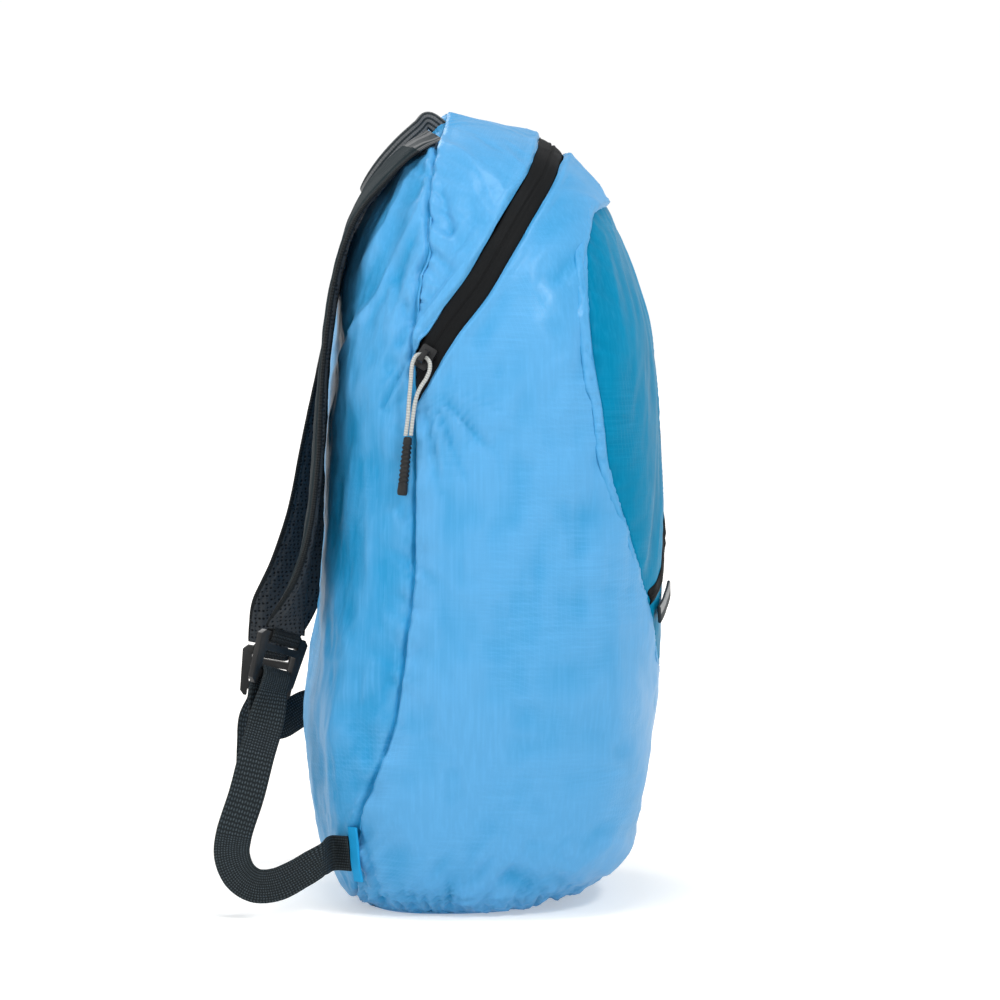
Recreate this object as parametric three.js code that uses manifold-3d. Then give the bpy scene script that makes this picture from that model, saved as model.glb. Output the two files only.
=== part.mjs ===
// A packable daypack that stands stuffed on its flat base, in millimetres.
// +Z is up, -Y is the front with the pocket, +Y is the wearer's side and -X is the wearer's left.
// The origin is on the floor under the middle of the bag.
import * as THREE from "three";
import { mergeVertices } from "three/addons/utils/BufferGeometryUtils.js";
import Module from "manifold-3d";

const wasm = await Module();
wasm.setup();

// Overall sizes
const HEIGHT = 447;
const DEPTH = 205;
const WIDTH = 280;

// Cloth and clearances
const CLOTH = 1.8;
const SEAM_GAP = 0.3;
const POCKET_CLOTH = 1.5;
const TAPE_THICKNESS = 1.5;
const TAPE_SINK = 0.2;

// Zips
const MAIN_ZIP_WIDTH = 15.4;
const FRONT_ZIP_WIDTH = 9;
const FRONT_TAPE_THICKNESS = 1;
const SLIDER_LENGTH = 13;
const SLIDER_WIDTH = 9;
const SLIDER_HEIGHT = 2.6;
const SLIDER_ROUND = 1.4;
const SLIDER_BRIDGE = 4.6;
const SLIDER_BRIDGE_LENGTH = 9;
const SLIDER_BRIDGE_WIDTH = 3;
const SLIDER_SINK = 1.5;
const SLIDER_EYE = 5;
const SLIDER_EYE_HEIGHT = 3.2;
const SLIDER_EYE_ROUND = 0.8;

// Pull
const CORD_DIAMETER = 2.2;
const GRIP_DIAMETER = 5.6;
const GRIP_LENGTH = 32;
const GRIP_ROUND = 0.8;
const GRIP_DROP = 0.6;

// Straps, locks and webbing
const STRAP_WIDTH = 58;
const STRAP_THICKNESS = 9;
const STRAP_LIE = 0.4;
const WEBBING_WIDTH = 20;
const WEBBING_THICKNESS = 1.5;
const HAUL_WIDTH = 10;
const HAUL_THICKNESS = 2;
const LOCK_WIDTH = 34;
const LOCK_LENGTH = 30;
const LOCK_THICKNESS = 4;
const LOCK_BAR = 4;
const LOCK_SLOT = 22;
const LOCK_CORNER = 2.5;
const LOCK_HOLE_ROUND = 0.8;
const LOCK_EAR = 4;
const WEBBING_LEAD = 6;
const FOLD_THICKNESS = 1.6;
const TURN_STEPS = 6;

// Tabs
const TAB_WIDTH = 10;
const TAB_THICKNESS = 2;
const TAB_STAND = 0.4;
const CORNER_TAB_WIDTH = 7;
const CORNER_TAB_LENGTH = 31;
const CORNER_TAB_THICKNESS = 1.6;
const CORNER_TAB_RAISE = 1.6;
const CORNER_LEAD_RAISE = 2.2;

// Mesh density of the bag: points around a section, and sections for each row of the table below
const AROUND = 36;
const ROWS_STEP = 0.8;

// The bag's sections from the base up. Each is a tilted loop between a point on the back and one on the front.
// Rises are shares of HEIGHT, reaches are shares of DEPTH from the origin, half is a share of half of WIDTH,
// and square is the exponent of the rounded outline.
const SECTIONS = [
  { backRise: 0.0, backReach: 0.325, frontRise: 0.0, frontReach: 0.14, half: 0.7, square: 2.8 },
  { backRise: 0.015, backReach: 0.376, frontRise: 0.022, frontReach: 0.27, half: 0.8, square: 3.0 },
  { backRise: 0.044, backReach: 0.412, frontRise: 0.058, frontReach: 0.38, half: 0.875, square: 3.2 },
  { backRise: 0.085, backReach: 0.449, frontRise: 0.098, frontReach: 0.438, half: 0.93, square: 3.2 },
  { backRise: 0.148, backReach: 0.475, frontRise: 0.166, frontReach: 0.47, half: 0.965, square: 3.1 },
  { backRise: 0.226, backReach: 0.488, frontRise: 0.237, frontReach: 0.487, half: 0.985, square: 3.0 },
  { backRise: 0.304, backReach: 0.469, frontRise: 0.313, frontReach: 0.496, half: 1.0, square: 2.9 },
  { backRise: 0.385, backReach: 0.448, frontRise: 0.394, frontReach: 0.498, half: 1.0, square: 2.8 },
  { backRise: 0.474, backReach: 0.433, frontRise: 0.479, frontReach: 0.5, half: 1.0, square: 2.8 },
  { backRise: 0.559, backReach: 0.426, frontRise: 0.559, frontReach: 0.498, half: 0.995, square: 2.8 },
  { backRise: 0.649, backReach: 0.416, frontRise: 0.64, frontReach: 0.488, half: 0.98, square: 2.8 },
  { backRise: 0.727, backReach: 0.4, frontRise: 0.72, frontReach: 0.466, half: 0.95, square: 2.7 },
  { backRise: 0.796, backReach: 0.376, frontRise: 0.783, frontReach: 0.426, half: 0.9, square: 2.6 },
  { backRise: 0.855, backReach: 0.338, frontRise: 0.841, frontReach: 0.378, half: 0.825, square: 2.5 },
  { backRise: 0.899, backReach: 0.287, frontRise: 0.888, frontReach: 0.336, half: 0.73, square: 2.4 },
  { backRise: 0.937, backReach: 0.226, frontRise: 0.924, frontReach: 0.283, half: 0.605, square: 2.4 },
  { backRise: 0.964, backReach: 0.168, frontRise: 0.948, frontReach: 0.232, half: 0.46, square: 2.3 },
  { backRise: 0.984, backReach: 0.124, frontRise: 0.964, frontReach: 0.185, half: 0.3, square: 2.3 },
  { backRise: 0.997, backReach: 0.098, frontRise: 0.974, frontReach: 0.151, half: 0.14, square: 2.2 },
  { backRise: 1.0, backReach: 0.087, frontRise: 0.979, frontReach: 0.132, half: 0.03, square: 2.2 },
];

// Side view of the back seam from the floor up: reach is a share of DEPTH, rise a share of HEIGHT.
const BACK_SEAM = [
  { reach: 0.335, rise: -0.1 },
  { reach: 0.335, rise: 0.045 },
  { reach: 0.325, rise: 0.117 },
  { reach: 0.283, rise: 0.171 },
  { reach: 0.224, rise: 0.247 },
  { reach: 0.192, rise: 0.349 },
  { reach: 0.174, rise: 0.416 },
  { reach: 0.168, rise: 0.595 },
  { reach: 0.177, rise: 0.683 },
  { reach: 0.162, rise: 0.786 },
  { reach: 0.139, rise: 0.816 },
  { reach: 0.137, rise: 0.884 },
  { reach: 0.116, rise: 0.948 },
  { reach: 0.093, rise: 1.0 },
  { reach: 0.06, rise: 1.1 },
];

// Side view of the middle of the main zip, from behind the back seam up over the crown.
const MAIN_ZIP = [
  { reach: 0.24, rise: 0.607 },
  { reach: 0.172, rise: 0.664 },
  { reach: 0.091, rise: 0.725 },
  { reach: 0.007, rise: 0.776 },
  { reach: -0.049, rise: 0.819 },
  { reach: -0.117, rise: 0.873 },
  { reach: -0.166, rise: 0.911 },
  { reach: -0.188, rise: 0.937 },
  { reach: -0.203, rise: 0.959 },
  { reach: -0.232, rise: 1.05 },
];

// Front view of the pocket's edge from its low tip up: out is a share of half of WIDTH, rise a share of HEIGHT.
const POCKET_EDGE = [
  { out: 0.0, rise: 0.286 },
  { out: 0.26, rise: 0.297 },
  { out: 0.45, rise: 0.327 },
  { out: 0.64, rise: 0.398 },
  { out: 0.72, rise: 0.438 },
  { out: 0.81, rise: 0.498 },
  { out: 0.86, rise: 0.541 },
  { out: 0.873, rise: 0.6 },
  { out: 0.86, rise: 0.7 },
  { out: 0.8, rise: 0.77 },
  { out: 0.69, rise: 0.825 },
  { out: 0.5, rise: 0.868 },
  { out: 0.26, rise: 0.879 },
  { out: 0.0, rise: 0.881 },
];

// Front view of the slanted front zip, from the left edge of the pocket up to the right.
const FRONT_ZIP = [
  { out: -0.6, rise: 0.39 },
  { out: -0.44, rise: 0.411 },
  { out: -0.22, rise: 0.463 },
  { out: 0.0, rise: 0.535 },
  { out: 0.2, rise: 0.61 },
  { out: 0.42, rise: 0.7 },
];

// Large folds and dents of the cloth, the same on both sides. turn goes round from 0 at the side through 0.25 at
// the back, or -0.25 at the front, across and along are its half sizes in turns and in shares of HEIGHT,
// slant leans it, and depth is a share of DEPTH, outward when positive.
const FOLDS = [
  { turn: 0.17, rise: 0.18, across: 0.018, along: 0.1, slant: -0.12, depth: -0.02 },
  { turn: 0.12, rise: 0.3, across: 0.02, along: 0.14, slant: -0.05, depth: 0.014 },
  { turn: 0.16, rise: 0.62, across: 0.022, along: 0.13, slant: 0.04, depth: -0.018 },
  { turn: 0.11, rise: 0.84, across: 0.018, along: 0.07, slant: 0.2, depth: -0.02 },
  { turn: 0.02, rise: 0.5, across: 0.03, along: 0.17, slant: 0.05, depth: 0.012 },
  { turn: -0.03, rise: 0.24, across: 0.035, along: 0.1, slant: -0.1, depth: 0.014 },
  { turn: -0.08, rise: 0.69, across: 0.016, along: 0.07, slant: 0.1, depth: -0.012 },
  { turn: -0.1, rise: 0.34, across: 0.02, along: 0.09, slant: 0.12, depth: 0.012 },
  { turn: -0.17, rise: 0.62, across: 0.04, along: 0.09, slant: 0, depth: -0.014 },
  { turn: 0.06, rise: 0.1, across: 0.02, along: 0.06, slant: -0.35, depth: -0.016 },
];
const SEAM_PINCH = 3.2;
const SEAM_PINCH_REACH = 11;
const GATHER_DEPTH = 1.1;
const GATHER_PITCH = 26;

// Straps from the crown down. row is a section number above, out a share of half of WIDTH, lift a share of DEPTH
// off the back panel, wide and thick are shares of the strap's own sizes, and turn is in degrees about its run.
const LEFT_STRAP = [
  { row: 16.1, out: 0.31, lift: 0.0, wide: 0.66, thick: 0.36, turn: 0 },
  { row: 15.5, out: 0.32, lift: 0.0, wide: 0.74, thick: 0.5, turn: 0 },
  { row: 14.8, out: 0.335, lift: 0.0, wide: 0.86, thick: 0.7, turn: 0 },
  { row: 14, out: 0.355, lift: 0.0, wide: 0.95, thick: 0.85, turn: 0 },
  { row: 13, out: 0.38, lift: 0.0, wide: 1, thick: 1, turn: 0 },
  { row: 11.6, out: 0.42, lift: 0.0, wide: 1, thick: 1, turn: 0 },
  { row: 10.2, out: 0.46, lift: 0.006, wide: 1, thick: 1, turn: 3 },
  { row: 9, out: 0.5, lift: 0.024, wide: 0.98, thick: 1, turn: 6 },
  { row: 8, out: 0.535, lift: 0.042, wide: 0.9, thick: 1, turn: 11 },
  { row: 7.3, out: 0.56, lift: 0.062, wide: 0.78, thick: 0.95, turn: 20 },
  { row: 6.85, out: 0.575, lift: 0.08, wide: 0.62, thick: 0.85, turn: 40 },
  { row: 6.55, out: 0.585, lift: 0.093, wide: 0.5, thick: 0.7, turn: 66 },
];
const RIGHT_STRAP = [
  { row: 16.1, out: 0.31, lift: 0.0, wide: 0.66, thick: 0.36, turn: 0 },
  { row: 15.5, out: 0.32, lift: 0.0, wide: 0.74, thick: 0.5, turn: 0 },
  { row: 14.8, out: 0.335, lift: 0.0, wide: 0.86, thick: 0.7, turn: 0 },
  { row: 14, out: 0.355, lift: 0.0, wide: 0.95, thick: 0.85, turn: 0 },
  { row: 13, out: 0.38, lift: 0.0, wide: 1, thick: 1, turn: 0 },
  { row: 11.6, out: 0.42, lift: 0.014, wide: 1, thick: 1, turn: 2 },
  { row: 10.2, out: 0.45, lift: 0.042, wide: 1, thick: 1, turn: 8 },
  { row: 9, out: 0.48, lift: 0.068, wide: 1, thick: 1, turn: 15 },
  { row: 8, out: 0.51, lift: 0.082, wide: 0.98, thick: 1, turn: 22 },
  { row: 7.2, out: 0.535, lift: 0.1, wide: 0.9, thick: 1, turn: 28 },
  { row: 6.6, out: 0.56, lift: 0.13, wide: 0.74, thick: 0.9, turn: 44 },
  { row: 6.2, out: 0.575, lift: 0.15, wide: 0.56, thick: 0.8, turn: 62 },
  { row: 5.92, out: 0.585, lift: 0.158, wide: 0.5, thick: 0.7, turn: 74 },
];
const STRAP_SIDES = 12;
const STRAP_STEPS = 24;

// Free runs of the lower webbing from the lock to the bottom corner. out is a share of half of WIDTH, reach a
// share of DEPTH, rise a share of HEIGHT and turn the angle of its width about the run, in degrees.
const LEFT_RUN = [
  { out: 0.64, reach: 0.58, rise: 0.232, turn: 90 },
  { out: 0.67, reach: 0.6, rise: 0.2, turn: 90 },
  { out: 0.72, reach: 0.627, rise: 0.15, turn: 90 },
  { out: 0.79, reach: 0.66, rise: 0.1, turn: 90 },
  { out: 0.83, reach: 0.662, rise: 0.077, turn: 92 },
  { out: 0.855, reach: 0.64, rise: 0.055, turn: 96 },
  { out: 0.865, reach: 0.6, rise: 0.043, turn: 100 },
  { out: 0.87, reach: 0.545, rise: 0.044, turn: 106 },
  { out: 0.87, reach: 0.48, rise: 0.058, turn: 116 },
  { out: 0.865, reach: 0.42, rise: 0.075, turn: 118 },
];
const RIGHT_RUN = [
  { out: 0.622, reach: 0.642, rise: 0.208, turn: -90 },
  { out: 0.63, reach: 0.628, rise: 0.199, turn: -90 },
  { out: 0.64, reach: 0.608, rise: 0.194, turn: -92 },
  { out: 0.65, reach: 0.586, rise: 0.194, turn: -94 },
  { out: 0.66, reach: 0.562, rise: 0.2, turn: -96 },
  { out: 0.69, reach: 0.53, rise: 0.209, turn: -98 },
  { out: 0.73, reach: 0.502, rise: 0.213, turn: -102 },
  { out: 0.78, reach: 0.475, rise: 0.203, turn: -106 },
  { out: 0.83, reach: 0.452, rise: 0.174, turn: -108 },
  { out: 0.865, reach: 0.432, rise: 0.135, turn: -104 },
  { out: 0.875, reach: 0.42, rise: 0.1, turn: -100 },
];
const LEFT_TAIL = [
  { out: 0.665, reach: 0.672, rise: 0.065 },
  { out: 0.645, reach: 0.652, rise: 0.12 },
  { out: 0.615, reach: 0.622, rise: 0.175 },
  { out: 0.57, reach: 0.59, rise: 0.225 },
];
const RIGHT_TAIL = [
  { out: 0.61, reach: 0.665, rise: 0.13 },
  { out: 0.6, reach: 0.662, rise: 0.165 },
  { out: 0.585, reach: 0.656, rise: 0.2 },
];
const CORNER_RISE = 0.079;

// The haul loop's half, from the seam to its far bend: row and out as for a strap.
const HAUL = [
  { row: 16.75, out: 0.1 },
  { row: 16.2, out: 0.118 },
  { row: 15.4, out: 0.13 },
  { row: 14.7, out: 0.128 },
  { row: 14.1, out: 0.1 },
  { row: 13.8, out: 0.05 },
  { row: 13.72, out: 0.0 },
];
const HAUL_LEAN = 24;

// The reflective tab on the pocket in front view, from the low end of the front zip.
const REFLECTIVE_TAB = [
  { out: -0.53, rise: 0.368, lift: 0 },
  { out: -0.36, rise: 0.381, lift: 0 },
  { out: -0.2, rise: 0.393, lift: 0.006 },
];

// The pull cord's route, in millimetres from the slider's eye, chosen by hand: up from the grip, through the eye
// and back down. side is away from the cloth, reach goes back and rise goes up.
const SLIDER_AT = 1.42;
const CORD_ROUTE = [
  { side: 0.6, reach: 10, rise: -43 },
  { side: 0.8, reach: 9.3, rise: -38 },
  { side: 1.0, reach: 8.7, rise: -33 },
  { side: 1.0, reach: 8.3, rise: -27.5 },
  { side: 1.0, reach: 7.9, rise: -22 },
  { side: 1.0, reach: 7.4, rise: -17 },
  { side: 1.0, reach: 7.0, rise: -12 },
  { side: 1.0, reach: 6.7, rise: -7 },
  { side: 0.9, reach: 5.8, rise: -2.4 },
  { side: 0.1, reach: 3.8, rise: 0.7 },
  { side: -0.5, reach: 1.6, rise: 1.0 },
  { side: 0.0, reach: 0.0, rise: 0.0 },
  { side: 0.5, reach: -1.6, rise: -1.0 },
  { side: 1.4, reach: -3.2, rise: -3.6 },
  { side: 1.6, reach: -3.0, rise: -7.8 },
  { side: 1.5, reach: -1.2, rise: -12 },
  { side: 1.3, reach: 1.4, rise: -16 },
  { side: 1.1, reach: 3.6, rise: -20.5 },
  { side: 1.0, reach: 5.0, rise: -26 },
  { side: 1.0, reach: 5.8, rise: -31.5 },
  { side: 0.8, reach: 6.5, rise: -37 },
  { side: 0.6, reach: 7.2, rise: -43 },
];
const CORD_SIDES = 8;
const GRIP_LEAN = { side: 0, reach: 0.105, rise: -1 };

const half = WIDTH / 2;
const turnDegrees = Math.PI / 180;

// Values of a table between its rows, smooth through each row.
function between(table, at, key) {
  const low = Math.max(0, Math.min(table.length - 2, Math.floor(at)));
  const part = at - low;
  const take = (i) => table[Math.max(0, Math.min(table.length - 1, i))][key];
  const before = low === 0 ? 2 * take(0) - take(1) : take(low - 1);
  const last = low === table.length - 2;
  const after = last ? 2 * take(low + 1) - take(low) : take(low + 2);
  const slopeLow = (take(low + 1) - before) / 2;
  const slopeHigh = (after - take(low)) / 2;
  const p2 = part * part;
  const p3 = p2 * part;
  return (
    (2 * p3 - 3 * p2 + 1) * take(low) +
    (p3 - 2 * p2 + part) * slopeLow +
    (3 * p2 - 2 * p3) * take(low + 1) +
    (p3 - p2) * slopeHigh
  );
}

// Reach of a side-view line at a given rise, from its straight pieces.
function reachAt(line, rise) {
  const above = Math.max(1, line.findIndex((row) => row.rise > rise));
  const low = line[above - 1];
  const high = line[above];
  const part = (rise - low.rise) / (high.rise - low.rise);
  return low.reach + (high.reach - low.reach) * part;
}

// How far the cloth stands out of its plain section, in millimetres.
function foldAt(turn, rise, reach) {
  const sideTurn = turn > 0.5 ? turn - 1 : turn;
  const around = Math.abs(sideTurn) > 0.25 ? Math.sign(sideTurn) * (0.5 - Math.abs(sideTurn)) : sideTurn;
  let out = 0;
  for (const fold of FOLDS) {
    const along = (rise - fold.rise) / fold.along;
    const across = (around - fold.turn - fold.slant * (rise - fold.rise)) / fold.across;
    out += fold.depth * DEPTH * Math.exp(-along * along - across * across);
  }
  const fromSeam = reach - reachAt(BACK_SEAM, rise) * DEPTH;
  const side = Math.cos(turn * 2 * Math.PI) ** 2;
  const pinch = Math.exp(-((fromSeam / SEAM_PINCH_REACH) ** 2)) * Math.min(1, side * 4);
  const gather = GATHER_DEPTH * Math.sin((2 * Math.PI * rise * HEIGHT) / GATHER_PITCH);
  const ends = Math.min(1, 12 * rise, 8 * (1 - rise));
  return (out + pinch * (gather - SEAM_PINCH)) * Math.max(0, ends);
}

// A point of the bag's surface. row counts the sections, turn goes round from +X by +Y, and grown is how far the
// skin lies outside the cloth's outer face.
function bodyPoint(row, turn, grown) {
  const value = (key) => between(SECTIONS, row, key);
  const back = value("backReach") * DEPTH + grown;
  const front = -value("frontReach") * DEPTH - grown;
  const wide = Math.max(0.4, value("half") * half + grown);
  const power = 2 / value("square");
  const cos = Math.cos(turn * 2 * Math.PI);
  const sin = Math.sin(turn * 2 * Math.PI);
  const away = Math.sign(sin) * Math.abs(sin) ** power;
  const x = wide * Math.sign(cos) * Math.abs(cos) ** power;
  const middle = (back + front) / 2;
  const y = middle + ((back - front) / 2) * away;
  const share = (1 + away) / 2;
  const rise = value("frontRise") + (value("backRise") - value("frontRise")) * share;
  const fold = foldAt(turn, rise, y);
  const span = Math.hypot(x, y - middle) || 1;
  const z = rise * (HEIGHT + 2 * grown) - grown;
  return new THREE.Vector3(x * (1 + fold / span), middle + (y - middle) * (1 + fold / span), z);
}

// The outward direction of the bag's surface.
function bodyNormal(row, turn) {
  const step = 0.05;
  const turnStep = 0.004;
  const top = SECTIONS.length - 1;
  const up = bodyPoint(Math.min(top, row + step), turn, 0).sub(bodyPoint(Math.max(0, row - step), turn, 0));
  const round = bodyPoint(row, turn + turnStep, 0).sub(bodyPoint(row, turn - turnStep, 0));
  return round.cross(up).normalize();
}

// The turn of the back half at a given share of the width, at a section.
function turnAtOut(row, out) {
  const value = (key) => between(SECTIONS, row, key);
  const share = Math.min(0.98, Math.abs(out) / value("half"));
  const angle = Math.acos(share ** (value("square") / 2)) / (2 * Math.PI);
  return out < 0 ? 0.5 - angle : angle;
}

// A closed solid through loops of points, with both ends closed across.
function loft(loops) {
  const count = loops[0].length;
  const place = loops.flat().flatMap((p) => [p.x, p.y, p.z]);
  const faces = [];
  for (let i = 0; i + 1 < loops.length; i++) {
    for (let j = 0; j < count; j++) {
      const a = i * count + j;
      const b = i * count + ((j + 1) % count);
      faces.push(a, b, b + count, a, b + count, a + count);
    }
  }
  const close = (first, flip) => {
    for (let j = 0; j + 1 < count / 2; j++) {
      const a = first + j;
      const b = first + j + 1;
      const c = first + count - 1 - j;
      const d = first + count - 2 - j;
      const strip = d > b ? [a, c, b, b, c, d] : [a, c, b];
      faces.push(...(flip ? strip.reverse() : strip));
    }
  };
  close(0, false);
  close((loops.length - 1) * count, true);
  const shape = new THREE.BufferGeometry();
  shape.setAttribute("position", new THREE.Float32BufferAttribute(place, 3));
  shape.setIndex(faces);
  return shape;
}

// The bag as a full solid, grown or shrunk from the cloth's outer face.
function bagSolid(grown) {
  const loops = [];
  const top = SECTIONS.length - 1;
  const steps = Math.round(top / ROWS_STEP);
  for (let i = 0; i <= steps; i++) {
    const row = (i * top) / steps;
    const loop = [];
    for (let j = 0; j < AROUND; j++) {
      const point = bodyPoint(row, (j + 0.5) / AROUND, grown);
      loop.push(point);
    }
    loops.push(loop);
  }
  return loft(loops);
}

// Between three.js geometry and solids that can be cut and joined.
function toSolid(shape) {
  const bare = shape.clone();
  bare.deleteAttribute("normal");
  bare.deleteAttribute("uv");
  const merged = mergeVertices(bare, 1e-4);
  const triVerts = new Uint32Array(merged.index.array);
  const vertProperties = new Float32Array(merged.attributes.position.array);
  return new wasm.Manifold(new wasm.Mesh({ numProp: 3, vertProperties, triVerts }));
}

function toShape(solid) {
  const mesh = solid.getMesh();
  const shape = new THREE.BufferGeometry();
  shape.setAttribute("position", new THREE.Float32BufferAttribute(mesh.vertProperties, 3));
  shape.setIndex(new THREE.BufferAttribute(mesh.triVerts, 1));
  return shape;
}

// A block whose outline is given in a view plane and that runs through the whole bag.
const SIDE_VIEW = new THREE.Matrix4().makeBasis(
  new THREE.Vector3(0, 1, 0),
  new THREE.Vector3(0, 0, 1),
  new THREE.Vector3(1, 0, 0),
);
const FRONT_VIEW = new THREE.Matrix4().makeBasis(
  new THREE.Vector3(1, 0, 0),
  new THREE.Vector3(0, 0, 1),
  new THREE.Vector3(0, -1, 0),
);

function block(outline, view, near, far) {
  const shape = new THREE.ExtrudeGeometry(new THREE.Shape(outline), { depth: far - near, bevelEnabled: false });
  shape.translate(0, 0, near);
  shape.applyMatrix4(view);
  return toSolid(shape);
}

// Points on a smooth line through a table's rows.
function smooth(points, steps) {
  return new THREE.SplineCurve(points).getPoints(steps);
}

// The outline of a band of constant width along a line.
function band(line, width) {
  const left = [];
  const right = [];
  line.forEach((p, i) => {
    const before = line[Math.max(0, i - 1)];
    const after = line[Math.min(line.length - 1, i + 1)];
    const run = after.clone().sub(before).normalize();
    const across = new THREE.Vector2(-run.y, run.x).multiplyScalar(width / 2);
    left.push(p.clone().add(across));
    right.push(p.clone().sub(across));
  });
  return [...left, ...right.reverse()];
}

// Everything behind the back seam, moved forward by shift.
function behindSeam(shift) {
  const seam = BACK_SEAM.map((row) => new THREE.Vector2(row.reach * DEPTH - shift, row.rise * HEIGHT));
  const line = smooth(seam, 56);
  const beyond = 2 * DEPTH;
  line.push(new THREE.Vector2(beyond, line[line.length - 1].y), new THREE.Vector2(beyond, line[0].y));
  return block(line, SIDE_VIEW, -WIDTH, WIDTH);
}

function mainZipBand(width) {
  const line = MAIN_ZIP.map((row) => new THREE.Vector2(row.reach * DEPTH, row.rise * HEIGHT));
  return block(band(smooth(line, 26), width), SIDE_VIEW, -WIDTH, WIDTH);
}

function frontZipBand(width) {
  const line = FRONT_ZIP.map((row) => new THREE.Vector2(row.out * half, row.rise * HEIGHT));
  return block(band(smooth(line, 16), width), FRONT_VIEW, 0, DEPTH);
}

function pocketBlock() {
  const edge = POCKET_EDGE.map((row) => new THREE.Vector2(row.out * half, row.rise * HEIGHT));
  const right = smooth(edge, 30);
  const left = right.slice(1, -1).map((p) => new THREE.Vector2(-p.x, p.y));
  return block([...right, ...left.reverse()], FRONT_VIEW, 0, DEPTH);
}

function skin(outer, inner) {
  return toSolid(bagSolid(outer)).subtract(toSolid(bagSolid(inner)));
}

const PALETTE = {
  cloth: { color: 0x57b4ec, roughness: 0.55, metalness: 0 },
  pocketCloth: { color: 0x2d9bd2, roughness: 0.55, metalness: 0 },
  tape: { color: 0x16181a, roughness: 0.7, metalness: 0 },
  plastic: { color: 0x1c1e20, roughness: 0.45, metalness: 0 },
  cord: { color: 0xd6d8d4, roughness: 0.8, metalness: 0 },
  webbing: { color: 0x3b4345, roughness: 0.85, metalness: 0 },
  strap: { color: 0x1b2c31, roughness: 0.9, metalness: 0 },
  haul: { color: 0x7f8286, roughness: 0.85, metalness: 0 },
  reflective: { color: 0x9b9ea2, roughness: 0.35, metalness: 0.1 },
};

const pack = new THREE.Group();

function addPart(name, shape, finish, parent = pack) {
  const mesh = new THREE.Mesh(shape, new THREE.MeshStandardMaterial(PALETTE[finish]));
  mesh.name = name;
  parent.add(mesh);
  return mesh;
}

// The bag: one shell of cloth, parted at the back seam and along the main zip.
function addBag() {
  const shell = skin(0, -CLOTH);
  const ahead = shell.subtract(behindSeam(SEAM_GAP / 2));
  addPart("back_panel", toShape(shell.intersect(behindSeam(-SEAM_GAP / 2))), "cloth");
  const parted = ahead.subtract(mainZipBand(MAIN_ZIP_WIDTH + 2 * SEAM_GAP)).decompose();
  parted.sort((a, b) => b.volume() - a.volume());
  addPart("main_body", toShape(parted[0]), "cloth");
  addPart("top_panel", toShape(parted[1]), "cloth");
}

function addMainZip() {
  const tape = skin(-TAPE_SINK, -TAPE_SINK - TAPE_THICKNESS);
  const ahead = tape.subtract(behindSeam(SEAM_GAP / 2));
  addPart("main_zip", toShape(ahead.intersect(mainZipBand(MAIN_ZIP_WIDTH))), "tape");
}

function addPocket() {
  const outer = SEAM_GAP + POCKET_CLOTH;
  addPart("front_pocket", toShape(skin(outer, SEAM_GAP).intersect(pocketBlock())), "pocketCloth");
  const low = outer + SEAM_GAP;
  const tape = skin(low + FRONT_TAPE_THICKNESS, low);
  addPart("front_zip", toShape(tape.intersect(frontZipBand(FRONT_ZIP_WIDTH))), "tape");
}

// The surface point on one side of the bag at a height, found by halving on the turn and on the section.
function surfaceAt(turnLow, turnHigh, key, value, z) {
  const top = SECTIONS.length - 1;
  const atTurn = (turn) => {
    let low = 0;
    let high = top;
    for (let i = 0; i < 24; i++) {
      const row = (low + high) / 2;
      if (bodyPoint(row, turn, 0).z < z) low = row;
      else high = row;
    }
    return (low + high) / 2;
  };
  const rising = bodyPoint(atTurn(turnHigh), turnHigh, 0)[key] > bodyPoint(atTurn(turnLow), turnLow, 0)[key];
  let from = turnLow;
  let to = turnHigh;
  for (let i = 0; i < 22; i++) {
    const turn = (from + to) / 2;
    const below = bodyPoint(atTurn(turn), turn, 0)[key] < value;
    if (below === rising) from = turn;
    else to = turn;
  }
  const turn = (from + to) / 2;
  const row = atTurn(turn);
  return { point: bodyPoint(row, turn, 0), normal: bodyNormal(row, turn) };
}

// The runs of a line of stations, each with its place, the direction of its width, and its sizes.
function runs(stations) {
  return stations.map((station, i) => {
    const before = stations[Math.max(0, i - 1)].place;
    const after = stations[Math.min(stations.length - 1, i + 1)].place;
    const run = after.clone().sub(before).normalize();
    const across = station.across.clone().addScaledVector(run, -station.across.dot(run)).normalize();
    return { ...station, run, across, through: run.clone().cross(across) };
  });
}

// A flat band through stations, square at its edges.
function ribbon(stations, width, thickness) {
  const a = width / 2;
  const b = thickness / 2;
  const corners = [[-a, -b], [a, -b], [a, b], [-a, b]];
  const corner = (s, [u, v]) => s.place.clone().addScaledVector(s.across, u).addScaledVector(s.through, v);
  return loft(runs(stations).map((s) => corners.map((c) => corner(s, c))));
}

// A padded band with full, rounded edges through stations that hold their own half sizes.
function paddedBand(stations) {
  return loft(
    runs(stations).map((s) => {
      const loop = [];
      for (let j = 0; j < STRAP_SIDES; j++) {
        const angle = ((j + 0.5) / STRAP_SIDES) * 2 * Math.PI;
        const u = Math.sign(Math.cos(angle)) * Math.abs(Math.cos(angle)) ** 0.5 * s.halfWidth;
        const v = Math.sign(Math.sin(angle)) * Math.abs(Math.sin(angle)) ** 0.5 * s.halfThickness;
        loop.push(s.place.clone().addScaledVector(s.across, u).addScaledVector(s.through, v));
      }
      return loop;
    }),
  );
}

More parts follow.
